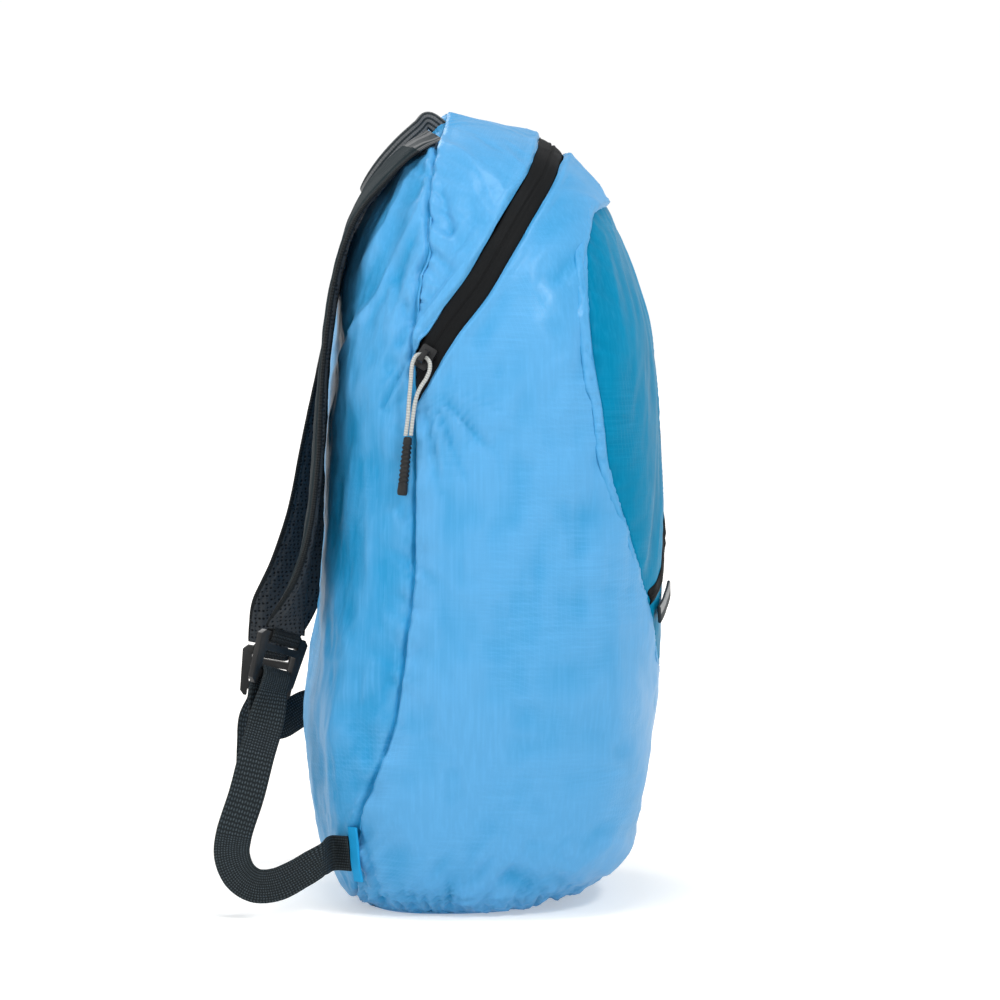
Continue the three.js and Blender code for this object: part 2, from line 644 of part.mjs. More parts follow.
// Stations through hand-chosen ones, smooth, with the widths never flipping over.
function fill(stations, steps) {
  const curve = new THREE.CatmullRomCurve3(stations.map((s) => s.place), false, "centripetal");
  const aligned = [];
  for (const station of stations) {
    const previous = aligned[aligned.length - 1];
    const flip = previous && previous.dot(station.across) < 0;
    aligned.push(flip ? station.across.clone().negate() : station.across.clone());
  }
  const filled = [];
  for (let i = 0; i <= steps; i++) {
    const at = (i / steps) * (stations.length - 1);
    const low = Math.min(stations.length - 2, Math.floor(at));
    const across = aligned[low].clone().lerp(aligned[low + 1], at - low).normalize();
    filled.push({ place: curve.getPoint(i / steps), across });
  }
  return filled;
}

// The strap's stations down the back. side is -1 on the wearer's left.
function strapStations(table, side) {
  const rest = [];
  const value = (at, key) => between(table, at, key);
  for (let i = 0; i <= STRAP_STEPS; i++) {
    const at = (i / STRAP_STEPS) * (table.length - 1);
    const row = value(at, "row");
    const turn = turnAtOut(row, side * value(at, "out"));
    const thickness = value(at, "thick") * STRAP_THICKNESS;
    const normal = bodyNormal(row, turn);
    const place = bodyPoint(row, turn, 0).addScaledVector(normal, STRAP_LIE + thickness / 2);
    place.y += value(at, "lift") * DEPTH;
    rest.push({
      place,
      normal,
      twist: value(at, "turn"),
      halfWidth: (value(at, "wide") * STRAP_WIDTH) / 2,
      halfThickness: thickness / 2,
    });
  }
  return rest.map((station, i) => {
    const before = rest[Math.max(0, i - 1)].place;
    const after = rest[Math.min(rest.length - 1, i + 1)].place;
    const run = after.clone().sub(before).normalize();
    const across = station.normal.clone().cross(run).normalize();
    across.applyAxisAngle(run, station.twist * turnDegrees);
    return { ...station, across };
  });
}

// The frame at a strap's low end: along is the lock's width, down its run and front faces away from the bag.
function lockFrame(stations, side) {
  const end = runs(stations)[stations.length - 1];
  const front = end.through.clone();
  const along = end.across.clone().negate();
  if (front.x * side < 0) {
    front.negate();
    along.negate();
  }
  return { origin: end.place.clone(), along, down: end.run.clone(), front };
}

function inFrame(frame, along, down, front) {
  return frame.origin
    .clone()
    .addScaledVector(frame.along, along)
    .addScaledVector(frame.down, down)
    .addScaledVector(frame.front, front);
}

// Places a shape drawn with its x along, its y down and its z to the front.
function placed(shape, frame) {
  const basis = new THREE.Matrix4().makeBasis(frame.along, frame.down, frame.front);
  return shape.applyMatrix4(basis).translate(frame.origin.x, frame.origin.y, frame.origin.z);
}

function roundedRectangle(left, low, right, high, radius, Kind = THREE.Shape) {
  const path = new Kind();
  path.moveTo(left + radius, low);
  path.lineTo(right - radius, low);
  path.absarc(right - radius, low + radius, radius, -Math.PI / 2, 0, false);
  path.lineTo(right, high - radius);
  path.absarc(right - radius, high - radius, radius, 0, Math.PI / 2, false);
  path.lineTo(left + radius, high);
  path.absarc(left + radius, high - radius, radius, Math.PI / 2, Math.PI, false);
  path.lineTo(left, low + radius);
  path.absarc(left + radius, low + radius, radius, Math.PI, 1.5 * Math.PI, false);
  return path;
}

const LOCK_TOP = SEAM_GAP + FOLD_THICKNESS + SEAM_GAP;
const FOLD_SLOT = FOLD_THICKNESS + 4 * SEAM_GAP;
const CENTRE_BAR = LOCK_TOP + LOCK_BAR + FOLD_SLOT;
const LOW_BAR = LOCK_TOP + LOCK_LENGTH - LOCK_EAR - LOCK_BAR;

// The moulded adjuster: a plate with a slot above its centre bar for the strap and one below for the webbing.
function lockShape() {
  const wide = LOCK_WIDTH / 2;
  const narrow = LOCK_SLOT / 2 + LOCK_BAR;
  const slot = LOCK_SLOT / 2;
  const low = LOCK_TOP + LOCK_LENGTH;
  const outline = new THREE.Shape([
    new THREE.Vector2(-wide + LOCK_CORNER, LOCK_TOP),
    new THREE.Vector2(wide - LOCK_CORNER, LOCK_TOP),
    new THREE.Vector2(wide, LOCK_TOP + LOCK_CORNER),
    new THREE.Vector2(narrow, low - LOCK_CORNER),
    new THREE.Vector2(narrow - LOCK_CORNER, low),
    new THREE.Vector2(slot, low),
    new THREE.Vector2(slot, LOW_BAR + LOCK_BAR),
    new THREE.Vector2(-slot, LOW_BAR + LOCK_BAR),
    new THREE.Vector2(-slot, low),
    new THREE.Vector2(-narrow + LOCK_CORNER, low),
    new THREE.Vector2(-narrow, low - LOCK_CORNER),
    new THREE.Vector2(-wide, LOCK_TOP + LOCK_CORNER),
  ]);
  const hole = (from, to) => roundedRectangle(-slot, from, slot, to, LOCK_HOLE_ROUND, THREE.Path);
  outline.holes.push(hole(LOCK_TOP + LOCK_BAR, CENTRE_BAR));
  outline.holes.push(hole(CENTRE_BAR + LOCK_BAR, LOW_BAR));
  const options = { depth: LOCK_THICKNESS, bevelEnabled: false, curveSegments: 3 };
  return new THREE.ExtrudeGeometry(outline, options).translate(0, 0, -LOCK_THICKNESS / 2);
}

// The strap's folded end: a flat ring of cloth round the lock's top bar.
function foldShape() {
  const inner = LOCK_THICKNESS / 2 + SEAM_GAP;
  const outer = inner + FOLD_THICKNESS;
  const low = LOCK_TOP + LOCK_BAR + SEAM_GAP;
  const ring = roundedRectangle(-outer, SEAM_GAP, outer, low + FOLD_THICKNESS, FOLD_THICKNESS);
  ring.holes.push(roundedRectangle(-inner, LOCK_TOP - SEAM_GAP, inner, low, SEAM_GAP, THREE.Path));
  const width = LOCK_SLOT - 2 * SEAM_GAP;
  const options = { depth: width, bevelEnabled: false, curveSegments: 3 };
  const shape = new THREE.ExtrudeGeometry(ring, options).translate(0, 0, -width / 2);
  return shape.rotateY(Math.PI / 2);
}

// The bound tab in the back seam near the floor, and the frame of its rear edge.
function cornerFrame(side) {
  const rise = CORNER_RISE * HEIGHT;
  const reach = reachAt(BACK_SEAM, CORNER_RISE) * DEPTH;
  const [low, high] = side < 0 ? [0.27, 0.499] : [0.001, 0.23];
  const { point, normal } = surfaceAt(low, high, "y", reach, rise);
  const down = new THREE.Vector3(0, 0, -1);
  down.addScaledVector(normal, -down.dot(normal)).normalize();
  const along = down.clone().cross(normal).normalize();
  const origin = point.addScaledVector(normal, SEAM_GAP + CORNER_TAB_THICKNESS / 2 + CORNER_TAB_RAISE);
  return { origin, along, down, front: normal };
}

function addCornerTab(name, side) {
  const frame = cornerFrame(side);
  const shape = new THREE.BoxGeometry(CORNER_TAB_WIDTH, CORNER_TAB_LENGTH, CORNER_TAB_THICKNESS);
  addPart(name, placed(shape, frame), "cloth");
  return frame;
}

// One shoulder strap with its fold, lock, lower webbing and corner tab. side is -1 on the wearer's left.
function addStrap(word, side, strap, run, tail) {
  const stations = strapStations(strap, side);
  addPart("shoulder_strap_" + word, paddedBand(stations), "strap");
  const frame = lockFrame(stations, side);
  addPart("strap_fold_" + word, placed(foldShape(), frame), "strap");
  addPart("ladder_lock_" + word, placed(lockShape(), frame), "plastic");
  const corner = addCornerTab("corner_tab_" + word, side);

  const spot = (row) => new THREE.Vector3(side * row.out * half, row.reach * DEPTH, row.rise * HEIGHT);
  const off = Math.hypot(LOCK_BAR, LOCK_THICKNESS) / 2 + 2 * SEAM_GAP + WEBBING_THICKNESS / 2;
  const barMiddle = LOW_BAR + LOCK_BAR / 2;
  const below = LOW_BAR + LOCK_BAR + WEBBING_LEAD;
  const loaded = (down, front) => ({ place: inFrame(frame, 0, down, front), across: frame.along });
  const path = tail.map((row) => ({ place: spot(row), across: frame.along }));
  path.push(loaded(below, -off), loaded(barMiddle, -off));
  for (let i = 1; i < TURN_STEPS; i++) {
    const angle = (i / TURN_STEPS) * Math.PI;
    path.push(loaded(barMiddle - off * Math.sin(angle), -off * Math.cos(angle)));
  }
  path.push(loaded(barMiddle, off), loaded(below, off));
  run.forEach((row, i) => {
    const before = i ? spot(run[i - 1]) : inFrame(frame, 0, below, off);
    const after = i + 1 < run.length ? spot(run[i + 1]) : corner.origin;
    const along = after.clone().sub(before).normalize();
    const across = new THREE.Vector3(1, 0, 0).addScaledVector(along, -along.x).normalize();
    across.applyAxisAngle(along, row.turn * turnDegrees);
    path.push({ place: spot(row), across });
  });
  const rear = corner.along.y > 0 ? 1 : -1;
  const edge = CORNER_TAB_WIDTH / 2 + 3 * SEAM_GAP;
  const lead = edge + WEBBING_WIDTH / 2;
  path.push({ place: inFrame(corner, rear * lead, 0, CORNER_LEAD_RAISE), across: corner.down.clone() });
  path.push({ place: inFrame(corner, rear * edge, 0, 0), across: corner.down.clone() });
  addPart("lower_webbing_" + word, ribbon(fill(path, path.length * 2), WEBBING_WIDTH, WEBBING_THICKNESS), "webbing");
}

// The webbing loop that stands on edge between the straps and flops down the back.
function addHaulLoop() {
  const station = (row, side) => {
    const turn = turnAtOut(row.row, side * row.out);
    const normal = bodyNormal(row.row, turn);
    const lean = normal.clone().applyAxisAngle(new THREE.Vector3(1, 0, 0), HAUL_LEAN * turnDegrees);
    const lift = SEAM_GAP + (HAUL_WIDTH / 2) * Math.cos(HAUL_LEAN * turnDegrees) + HAUL_THICKNESS / 2;
    return { place: bodyPoint(row.row, turn, 0).addScaledVector(normal, lift), across: lean };
  };
  const left = HAUL.map((row) => station(row, -1));
  const right = HAUL.slice(0, -1).map((row) => station(row, 1));
  const path = [...left, ...right.reverse()];
  addPart("haul_loop", ribbon(fill(path, 2 * path.length), HAUL_WIDTH, HAUL_THICKNESS), "haul");
}

function addReflectiveTab() {
  const low = SEAM_GAP + POCKET_CLOTH + SEAM_GAP + TAB_THICKNESS / 2;
  const stations = REFLECTIVE_TAB.map((row) => {
    const { point, normal } = surfaceAt(0.51, 0.749, "x", row.out * half, row.rise * HEIGHT);
    return {
      place: point.addScaledVector(normal, low + TAB_STAND + row.lift * DEPTH),
      across: new THREE.Vector3(0, 0, 1),
    };
  });
  addPart("reflective_tab", ribbon(fill(stations, 6), TAB_WIDTH, TAB_THICKNESS), "reflective");
}

// How far a flat plate on the left side has to stand off to clear the cloth under its edge.
function seatLift(frame, halfAlong, halfDown) {
  let lift = 0;
  for (const u of [-1, 0, 1]) {
    for (const v of [-1, 0, 1]) {
      const spot = inFrame(frame, u * halfAlong, v * halfDown, 0);
      const under = surfaceAt(0.3, 0.7, "y", spot.y, spot.z).point;
      lift = Math.max(lift, under.sub(spot).dot(frame.front));
    }
  }
  return lift;
}

// The slider, its cord loop and the grip, seated on the left end of the main zip.
function addPull() {
  const at = (key) => between(MAIN_ZIP, SLIDER_AT, key);
  const next = (key) => between(MAIN_ZIP, SLIDER_AT + 0.1, key);
  const { point } = surfaceAt(0.3, 0.7, "y", at("reach") * DEPTH, at("rise") * HEIGHT);
  const clear = (key) => between(MAIN_ZIP, SLIDER_AT + 0.7, key);
  const { normal } = surfaceAt(0.3, 0.7, "y", clear("reach") * DEPTH, clear("rise") * HEIGHT);
  const ahead = new THREE.Vector3(0, (next("reach") - at("reach")) * DEPTH, (next("rise") - at("rise")) * HEIGHT);
  const down = ahead.addScaledVector(normal, -ahead.dot(normal)).normalize();
  const frame = { origin: point, along: down.clone().cross(normal), down, front: normal };
  const length = SLIDER_LENGTH / 2;
  const width = SLIDER_WIDTH / 2;
  point.addScaledVector(normal, seatLift(frame, width, length) - SLIDER_SINK);
  const flat = { depth: SLIDER_HEIGHT, bevelEnabled: false, curveSegments: 4 };
  const plate = roundedRectangle(-width, -length, width, length, SLIDER_ROUND);
  const base = new THREE.ExtrudeGeometry(plate, flat).translate(0, 0, SEAM_GAP);
  const foot = SEAM_GAP + SLIDER_HEIGHT;
  const reach = SLIDER_BRIDGE_LENGTH / 2;
  const arch = new THREE.Shape([
    new THREE.Vector2(-reach, foot - SEAM_GAP),
    new THREE.Vector2(reach, foot - SEAM_GAP),
    new THREE.Vector2(reach - SLIDER_ROUND, foot + SLIDER_BRIDGE),
    new THREE.Vector2(-reach + SLIDER_ROUND, foot + SLIDER_BRIDGE),
  ]);
  const hole = SLIDER_EYE / 2;
  arch.holes.push(roundedRectangle(-hole, foot, hole, foot + SLIDER_EYE_HEIGHT, SLIDER_EYE_ROUND, THREE.Path));
  const thick = { depth: SLIDER_BRIDGE_WIDTH, bevelEnabled: false, curveSegments: 3 };
  const bridge = new THREE.ExtrudeGeometry(arch, thick).translate(0, 0, -SLIDER_BRIDGE_WIDTH / 2);
  bridge.applyMatrix4(SIDE_VIEW);
  const slider = toShape(toSolid(base).add(toSolid(bridge)));
  addPart("main_zip_slider", placed(slider, frame), "plastic");

  const eye = inFrame(frame, 0, 0, foot + SLIDER_EYE_HEIGHT / 2);
  const spot = (p) => new THREE.Vector3(eye.x - p.side, eye.y + p.reach, eye.z + p.rise);
  const route = new THREE.CatmullRomCurve3(CORD_ROUTE.map(spot), false, "centripetal");
  const round = new THREE.Shape().absarc(0, 0, CORD_DIAMETER / 2, 0, 2 * Math.PI, false);
  const steps = Math.round(route.getLength() / (2 * CORD_DIAMETER));
  const options = { steps, curveSegments: CORD_SIDES / 2, extrudePath: route, bevelEnabled: false };
  addPart("pull_cord", new THREE.ExtrudeGeometry(round, options), "cord");

  const ends = [spot(CORD_ROUTE[0]), spot(CORD_ROUTE[CORD_ROUTE.length - 1])];
  const top = ends[0].clone().add(ends[1]).multiplyScalar(0.5);
  const lean = new THREE.Vector3(-GRIP_LEAN.side, GRIP_LEAN.reach, GRIP_LEAN.rise).normalize();
  top.addScaledVector(lean, GRIP_DROP);
  const radius = GRIP_DIAMETER / 2;
  const profile = [
    new THREE.Vector2(0, 0),
    new THREE.Vector2(radius - GRIP_ROUND, 0),
    new THREE.Vector2(radius, GRIP_ROUND),
    new THREE.Vector2(radius, GRIP_LENGTH - GRIP_ROUND),
    new THREE.Vector2(radius - GRIP_ROUND, GRIP_LENGTH),
    new THREE.Vector2(0, GRIP_LENGTH),
  ];
  const grip = addPart("pull_grip", new THREE.LatheGeometry(profile, 12), "plastic");
  grip.quaternion.setFromUnitVectors(new THREE.Vector3(0, 1, 0), lean);
  grip.position.copy(top);
}

addBag();
addMainZip();
addPocket();
addPull();
addHaulLoop();
addReflectiveTab();
addStrap("left", -1, LEFT_STRAP, LEFT_RUN, LEFT_TAIL);
addStrap("right", 1, RIGHT_STRAP, RIGHT_RUN, RIGHT_TAIL);

export default pack;
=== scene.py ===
"""A packable daypack in thin cloth that stands stuffed on its flat base.

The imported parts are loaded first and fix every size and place, in metres. +Z is up, -Y is
the front with the pocket, +Y is the wearer's side and -X is the wearer's left.
"""

import bmesh
import bpy
import numpy as np
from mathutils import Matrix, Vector


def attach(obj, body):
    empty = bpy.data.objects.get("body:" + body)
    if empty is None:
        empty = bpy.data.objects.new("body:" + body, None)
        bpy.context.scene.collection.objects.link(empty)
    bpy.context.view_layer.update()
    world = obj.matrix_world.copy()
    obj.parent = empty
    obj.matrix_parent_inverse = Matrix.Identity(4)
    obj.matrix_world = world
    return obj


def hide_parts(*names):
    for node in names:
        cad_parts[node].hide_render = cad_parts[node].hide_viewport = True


bl_info = {
    "name": "Packable daypack",
    "version": (1, 0, 0),
    "blender": (4, 5, 0),
    "location": "3D View > Sidebar > Daypack",
    "description": "Builds a stuffed packable daypack, piece by piece",
    "category": "Add Mesh",
}

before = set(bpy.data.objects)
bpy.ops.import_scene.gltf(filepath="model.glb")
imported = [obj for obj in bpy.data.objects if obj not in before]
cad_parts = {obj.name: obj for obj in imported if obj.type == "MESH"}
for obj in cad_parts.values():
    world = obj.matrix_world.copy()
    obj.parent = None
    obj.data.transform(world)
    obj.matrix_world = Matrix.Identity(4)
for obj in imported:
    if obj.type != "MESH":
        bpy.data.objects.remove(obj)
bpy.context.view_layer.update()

MM = 0.001
TURN = 2 * np.pi

# Points of a mesh that are closer than this are joined, and a length under the second one counts as none.
WELD = 0.02 * MM
TINY = 1e-12

# The bag's sections from the base up: rises are shares of the height, reaches of the depth and half of half
# the width, and square is the exponent of the rounded outline.
SECTION_COLUMNS = ("back_rise", "back_reach", "front_rise", "front_reach", "half", "square")
SECTIONS = np.array(
    [
        (0.0, 0.325, 0.0, 0.14, 0.7, 2.8),
        (0.015, 0.376, 0.022, 0.27, 0.8, 3.0),
        (0.044, 0.412, 0.058, 0.38, 0.875, 3.2),
        (0.085, 0.449, 0.098, 0.438, 0.93, 3.2),
        (0.148, 0.475, 0.166, 0.47, 0.965, 3.1),
        (0.226, 0.488, 0.237, 0.487, 0.985, 3.0),
        (0.304, 0.469, 0.313, 0.496, 1.0, 2.9),
        (0.385, 0.448, 0.394, 0.498, 1.0, 2.8),
        (0.474, 0.433, 0.479, 0.5, 1.0, 2.8),
        (0.559, 0.426, 0.559, 0.498, 0.995, 2.8),
        (0.649, 0.416, 0.64, 0.488, 0.98, 2.8),
        (0.727, 0.4, 0.72, 0.466, 0.95, 2.7),
        (0.796, 0.376, 0.783, 0.426, 0.9, 2.6),
        (0.855, 0.338, 0.841, 0.378, 0.825, 2.5),
        (0.899, 0.287, 0.888, 0.336, 0.73, 2.4),
        (0.937, 0.226, 0.924, 0.283, 0.605, 2.4),
        (0.964, 0.168, 0.948, 0.232, 0.46, 2.3),
        (0.984, 0.124, 0.964, 0.185, 0.3, 2.3),
        (0.997, 0.098, 0.974, 0.151, 0.14, 2.2),
        (1.0, 0.087, 0.979, 0.132, 0.0, 2.2),
    ]
)
TOP_ROW = len(SECTIONS) - 1

# Side views, reach then rise: the back seam from the floor up, and the middle of the main zip from behind it.
BACK_SEAM = np.array(
    [
        (0.335, -0.1),
        (0.335, 0.045),
        (0.325, 0.117),
        (0.283, 0.171),
        (0.224, 0.247),
        (0.192, 0.349),
        (0.174, 0.416),
        (0.168, 0.595),
        (0.177, 0.683),
        (0.162, 0.786),
        (0.139, 0.816),
        (0.137, 0.884),
        (0.116, 0.948),
        (0.093, 1.0),
        (0.06, 1.1),
    ]
)
MAIN_ZIP = np.array(
    [
        (0.24, 0.607),
        (0.172, 0.664),
        (0.091, 0.725),
        (0.007, 0.776),
        (-0.049, 0.819),
        (-0.117, 0.873),
        (-0.166, 0.911),
        (-0.188, 0.937),
        (-0.203, 0.959),
        (-0.232, 1.05),
    ]
)

# Front views, out then rise: the pocket's edge from its low tip, and the slanted front zip from its low end.
POCKET_EDGE = np.array(
    [
        (0.0, 0.286),
        (0.26, 0.297),
        (0.45, 0.327),
        (0.64, 0.398),
        (0.72, 0.438),
        (0.81, 0.498),
        (0.86, 0.541),
        (0.873, 0.6),
        (0.86, 0.7),
        (0.8, 0.77),
        (0.69, 0.825),
        (0.5, 0.868),
        (0.26, 0.879),
        (0.0, 0.881),
    ]
)
FRONT_ZIP = np.array([(-0.6, 0.39), (-0.44, 0.411), (-0.22, 0.463), (0.0, 0.535), (0.2, 0.61), (0.42, 0.7)])

# Large folds: turn round from the side, rise, half sizes across and along, slant and depth, as in the packed
# part.
FOLDS = np.array(
    [
        (0.17, 0.18, 0.018, 0.1, -0.12, -0.02),
        (0.12, 0.3, 0.02, 0.14, -0.05, 0.014),
        (0.16, 0.62, 0.022, 0.13, 0.04, -0.018),
        (0.11, 0.84, 0.018, 0.07, 0.2, -0.02),
        (0.02, 0.5, 0.03, 0.17, 0.05, 0.012),
        (-0.03, 0.24, 0.035, 0.1, -0.1, 0.014),
        (-0.08, 0.69, 0.016, 0.07, 0.1, -0.012),
        (-0.1, 0.34, 0.02, 0.09, 0.12, 0.012),
        (-0.17, 0.62, 0.04, 0.09, 0.0, -0.014),
        (0.06, 0.1, 0.02, 0.06, -0.35, -0.016),
    ]
)
SEAM_PINCH = 3.2 * MM
SEAM_PINCH_REACH = 11 * MM
GATHER_DEPTH = 1.1 * MM
GATHER_PITCH = 26 * MM

# Creases and small dents on the sides, in millimetres of the side view: from and to, half width and depth.
SIDE_CREASES = np.array(
    [
        (22, 399, 17, 380, 4.0, 4.4),
        (14, 368, 24, 352, 3.0, 1.2),
        (2, 388, 22, 345, 4.0, 1.2),
        (-6, 372, 16, 330, 4.0, 0.9),
        (44, 404, 62, 340, 8.0, 2.4),
        (38, 372, 47, 352, 3.5, 1.6),
        (46, 352, 38, 330, 3.0, 1.4),
        (33, 338, 43, 316, 2.6, 1.5),
        (28, 274, 20, 236, 2.6, 1.0),
        (22, 282, 8, 246, 3.0, 1.0),
        (18, 288, -6, 262, 3.0, 0.9),
        (-62, 330, -56, 300, 5.0, 1.4),
        (-44, 352, -60, 372, 5.0, 1.4),
        (-30, 340, -46, 318, 6.0, 0.9),
        (-64, 250, -60, 205, 7.0, 1.2),
        (-48, 236, -52, 196, 6.0, 0.8),
        (48, 132, 64, 118, 3.0, 0.8),
        (52, 122, 70, 104, 3.0, 0.9),
        (62, 104, 72, 88, 3.0, 1.0),
        (66, 48, 52, 4, 1.6, 2.2),
        (69, 24, 50, 3, 1.4, 2.0),
        (66, 26, 63, 6, 2.0, 2.6),
        (40, 14, 18, 8, 3.0, 0.9),
        (-20, 22, -46, 20, 7.0, 1.6),
        (-56, 44, -84, 60, 6.0, 1.2),
        (-78, 92, -92, 72, 5.0, 1.0),
    ]
)

# Straps from the crown down: section row, out, lift, and shares of the width and the thickness, and a turn.
LEFT_STRAP = np.array(
    [
        (16.1, 0.31, 0.002, 0.6, 0.4, 0),
        (15.5, 0.32, 0.004, 0.66, 0.55, 0),
        (14.8, 0.335, 0.007, 0.78, 0.75, 1),
        (14, 0.355, 0.011, 0.92, 0.9, 3),
        (13, 0.38, 0.015, 1, 1, 8),
        (11.6, 0.42, 0.016, 1, 1, 12),
        (10.2, 0.46, 0.02, 1, 1, 13),
        (9, 0.5, 0.028, 0.98, 1, 12),
        (8, 0.535, 0.042, 0.9, 1.1, 13),
        (7.3, 0.56, 0.062, 0.78, 1.22, 20),
        (6.85, 0.575, 0.08, 0.62, 1.093, 40),
        (6.55, 0.585, 0.093, 0.5, 0.9, 66),
    ]
)
RIGHT_STRAP = np.array(
    [
        (16.1, 0.31, 0.002, 0.6, 0.4, 0),
        (15.5, 0.32, 0.004, 0.66, 0.55, 0),
        (14.8, 0.335, 0.007, 0.78, 0.75, -1),
        (14, 0.355, 0.011, 0.92, 0.9, -3),
        (13, 0.38, 0.015, 1, 1, -8),
        (11.6, 0.42, 0.02, 1, 1, -10),
        (10.2, 0.45, 0.028, 1, 1, -2),
        (9, 0.48, 0.046, 1, 1, 8),
        (8, 0.51, 0.062, 0.98, 1, 18),
        (7.2, 0.535, 0.094, 0.9, 1.1, 28),
        (6.6, 0.56, 0.13, 0.74, 1.157, 44),
        (6.2, 0.575, 0.15, 0.56, 1.029, 62),
        (5.92, 0.585, 0.158, 0.5, 0.9, 74),
    ]
)
STRAP_LIE = 0.4 * MM
# Rows of the pad from its top that are striped webbing.
STRIPED_ROWS = 20

# Lower webbing from the lock to the corner (out, reach, rise, turn of its width) and its free tail (out,
# reach, rise).
LEFT_RUN = np.array(
    [
        (0.64, 0.58, 0.232, 90),
        (0.67, 0.6, 0.2, 90),
        (0.72, 0.627, 0.15, 90),
        (0.79, 0.66, 0.1, 90),
        (0.83, 0.662, 0.077, 92),
        (0.855, 0.64, 0.055, 96),
        (0.865, 0.6, 0.043, 100),
        (0.87, 0.545, 0.044, 106),
        (0.87, 0.48, 0.058, 116),
        (0.865, 0.42, 0.075, 118),
    ]
)
RIGHT_RUN = np.array(
    [
        (0.622, 0.642, 0.208, -90),
        (0.63, 0.628, 0.199, -90),
        (0.64, 0.608, 0.194, -92),
        (0.65, 0.586, 0.194, -94),
        (0.66, 0.562, 0.2, -96),
        (0.69, 0.53, 0.209, -98),
        (0.73, 0.502, 0.213, -102),
        (0.78, 0.475, 0.203, -106),
        (0.83, 0.452, 0.174, -108),
        (0.865, 0.432, 0.135, -104),
        (0.875, 0.42, 0.1, -100),
    ]
)
LEFT_TAIL = np.array(
    [(0.665, 0.672, 0.065), (0.645, 0.652, 0.12), (0.615, 0.622, 0.175), (0.57, 0.59, 0.225)]
)
RIGHT_TAIL = np.array([(0.61, 0.665, 0.13), (0.6, 0.662, 0.165), (0.585, 0.656, 0.2)])
HAUL = np.array(
    [(16.75, 0.1), (16.2, 0.118), (15.4, 0.13), (14.7, 0.128), (14.1, 0.1), (13.8, 0.05), (13.72, 0.0)]
)
HAUL_LEAN = 40
REFLECTIVE_TAB = np.array([(-0.53, 0.368, 0.0), (-0.36, 0.381, 0.0), (-0.2, 0.393, 0.006)])
CORNER_RISE = 0.079

# Lock and fold sizes along the strap's run, in millimetres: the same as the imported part's.
GAP = 0.3
FOLD_THICKNESS = 1.6
LOCK_BAR = 4.0
LOCK_THICKNESS = 4.0
LOCK_TOP = GAP + FOLD_THICKNESS + GAP
LOW_BAR = LOCK_TOP + 30 - 4 - LOCK_BAR
WEBBING_LEAD = 6.0
TURN_STEPS = 6

# The pull cord's route in millimetres from the slider's eye: side away from the cloth, reach back and rise
# up.
SLIDER_EYE = Vector((-0.134517, 0.029715, 0.30956))
CORD_ROUTE = np.array(
    [
        (0.6, 10, -43),
        (0.8, 9.3, -38),
        (1.0, 8.7, -33),
        (1.0, 8.3, -27.5),
        (1.0, 7.9, -22),
        (1.0, 7.4, -17),
        (1.0, 7.0, -12),
        (1.0, 6.7, -7),
        (0.9, 5.8, -2.4),
        (0.1, 3.8, 0.7),
        (-0.5, 1.6, 1.0),
        (0.0, 0.0, 0.0),
        (0.5, -1.6, -1.0),
        (1.4, -3.2, -3.6),
        (1.6, -3.0, -7.8),
        (1.5, -1.2, -12),
        (1.3, 1.4, -16),
        (1.1, 3.6, -20.5),
        (1.0, 5.0, -26),
        (1.0, 5.8, -31.5),
        (0.8, 6.5, -37),
        (0.6, 7.2, -43),
    ]
)


def size_property(name, description, value):
    return bpy.props.FloatProperty(name=name, description=description, default=value, unit="LENGTH")


class DaypackSizes(bpy.types.PropertyGroup):
    """Sizes of the pack that a user would change"""

    height: size_property("Height", "Floor to crown", 0.447)
    depth: size_property("Depth", "Back to front", 0.205)
    width: size_property("Width", "Side to side", 0.28)
    wall: size_property("Cloth", "Wall thickness", 0.0012)
    zip_width: size_property("Main zip", "Tape width", 0.0154)
    front_zip_width: size_property("Front zip", "Tape width", 0.009)
    strap_width: size_property("Strap", "Padded strap width", 0.058)
    strap_thickness: size_property("Padding", "Padded strap thickness", 0.007)
    webbing_width: size_property("Webbing", "Webbing width", 0.02)
    webbing_thickness: size_property("Webbing thickness", "Webbing thickness", 0.0015)
    cord: size_property("Cord", "Pull cord diameter", 0.0022)
    haul_width: size_property("Haul loop", "Webbing width", 0.01)


def colour_property(name, value):
    described = "Colour of the " + name.lower()
    return bpy.props.FloatVectorProperty(
        name=name, description=described, subtype="COLOR", size=3, min=0, max=1, default=value
    )


class DaypackColours(bpy.types.PropertyGroup):
    """Colours of the cloths, tapes and plastics, and of the painted shade on the cloths, as linear values"""

    cloth: colour_property("Bag cloth", (0.074, 0.292, 0.55))
    # Painted shade: cloth_shaded and pocket_shaded are darker blues mixed into folds, creases and the back
    # panel. The corner tabs take cloth_shaded as their own colour.
    cloth_shaded: colour_property("Bag cloth in folds", (0.008, 0.222, 0.46))
    # Painted shade: the pocket colour is the bag's blue made darker and more saturated, for the front pocket
    # in shade.
    pocket: colour_property("Pocket cloth", (0.0, 0.2, 0.37))
    pocket_shaded: colour_property("Pocket cloth in folds", (0.0, 0.13, 0.25))
    tape: colour_property("Zip tape", (0.0025, 0.003, 0.0035))
    plastic: colour_property("Moulded plastic", (0.006, 0.0065, 0.007))
    cord: colour_property("Pull cord", (0.5, 0.52, 0.5))
    strap: colour_property("Strap cloth", (0.006, 0.012, 0.015))
    mesh: colour_property("Strap mesh", (0.006, 0.007, 0.008))
    binding: colour_property("Strap binding", (0.012, 0.015, 0.017))
    webbing: colour_property("Webbing", (0.017, 0.024, 0.028))
    light: colour_property("Light stripe", (0.13, 0.135, 0.14))
    light_tab: colour_property("Reflective stripe", (0.3, 0.31, 0.315))
    # The floor is tinted warm so that the blue light bounced from the bag shows grey in its shade. Where it
    # is lit, it clips to white.
    floor: colour_property("Floor", (0.8, 0.77, 0.73))


def sizes():
    return bpy.context.scene.daypack_sizes


def colours():
    return bpy.context.scene.daypack_colours


# Curves, noise and meshes worked out as whole arrays


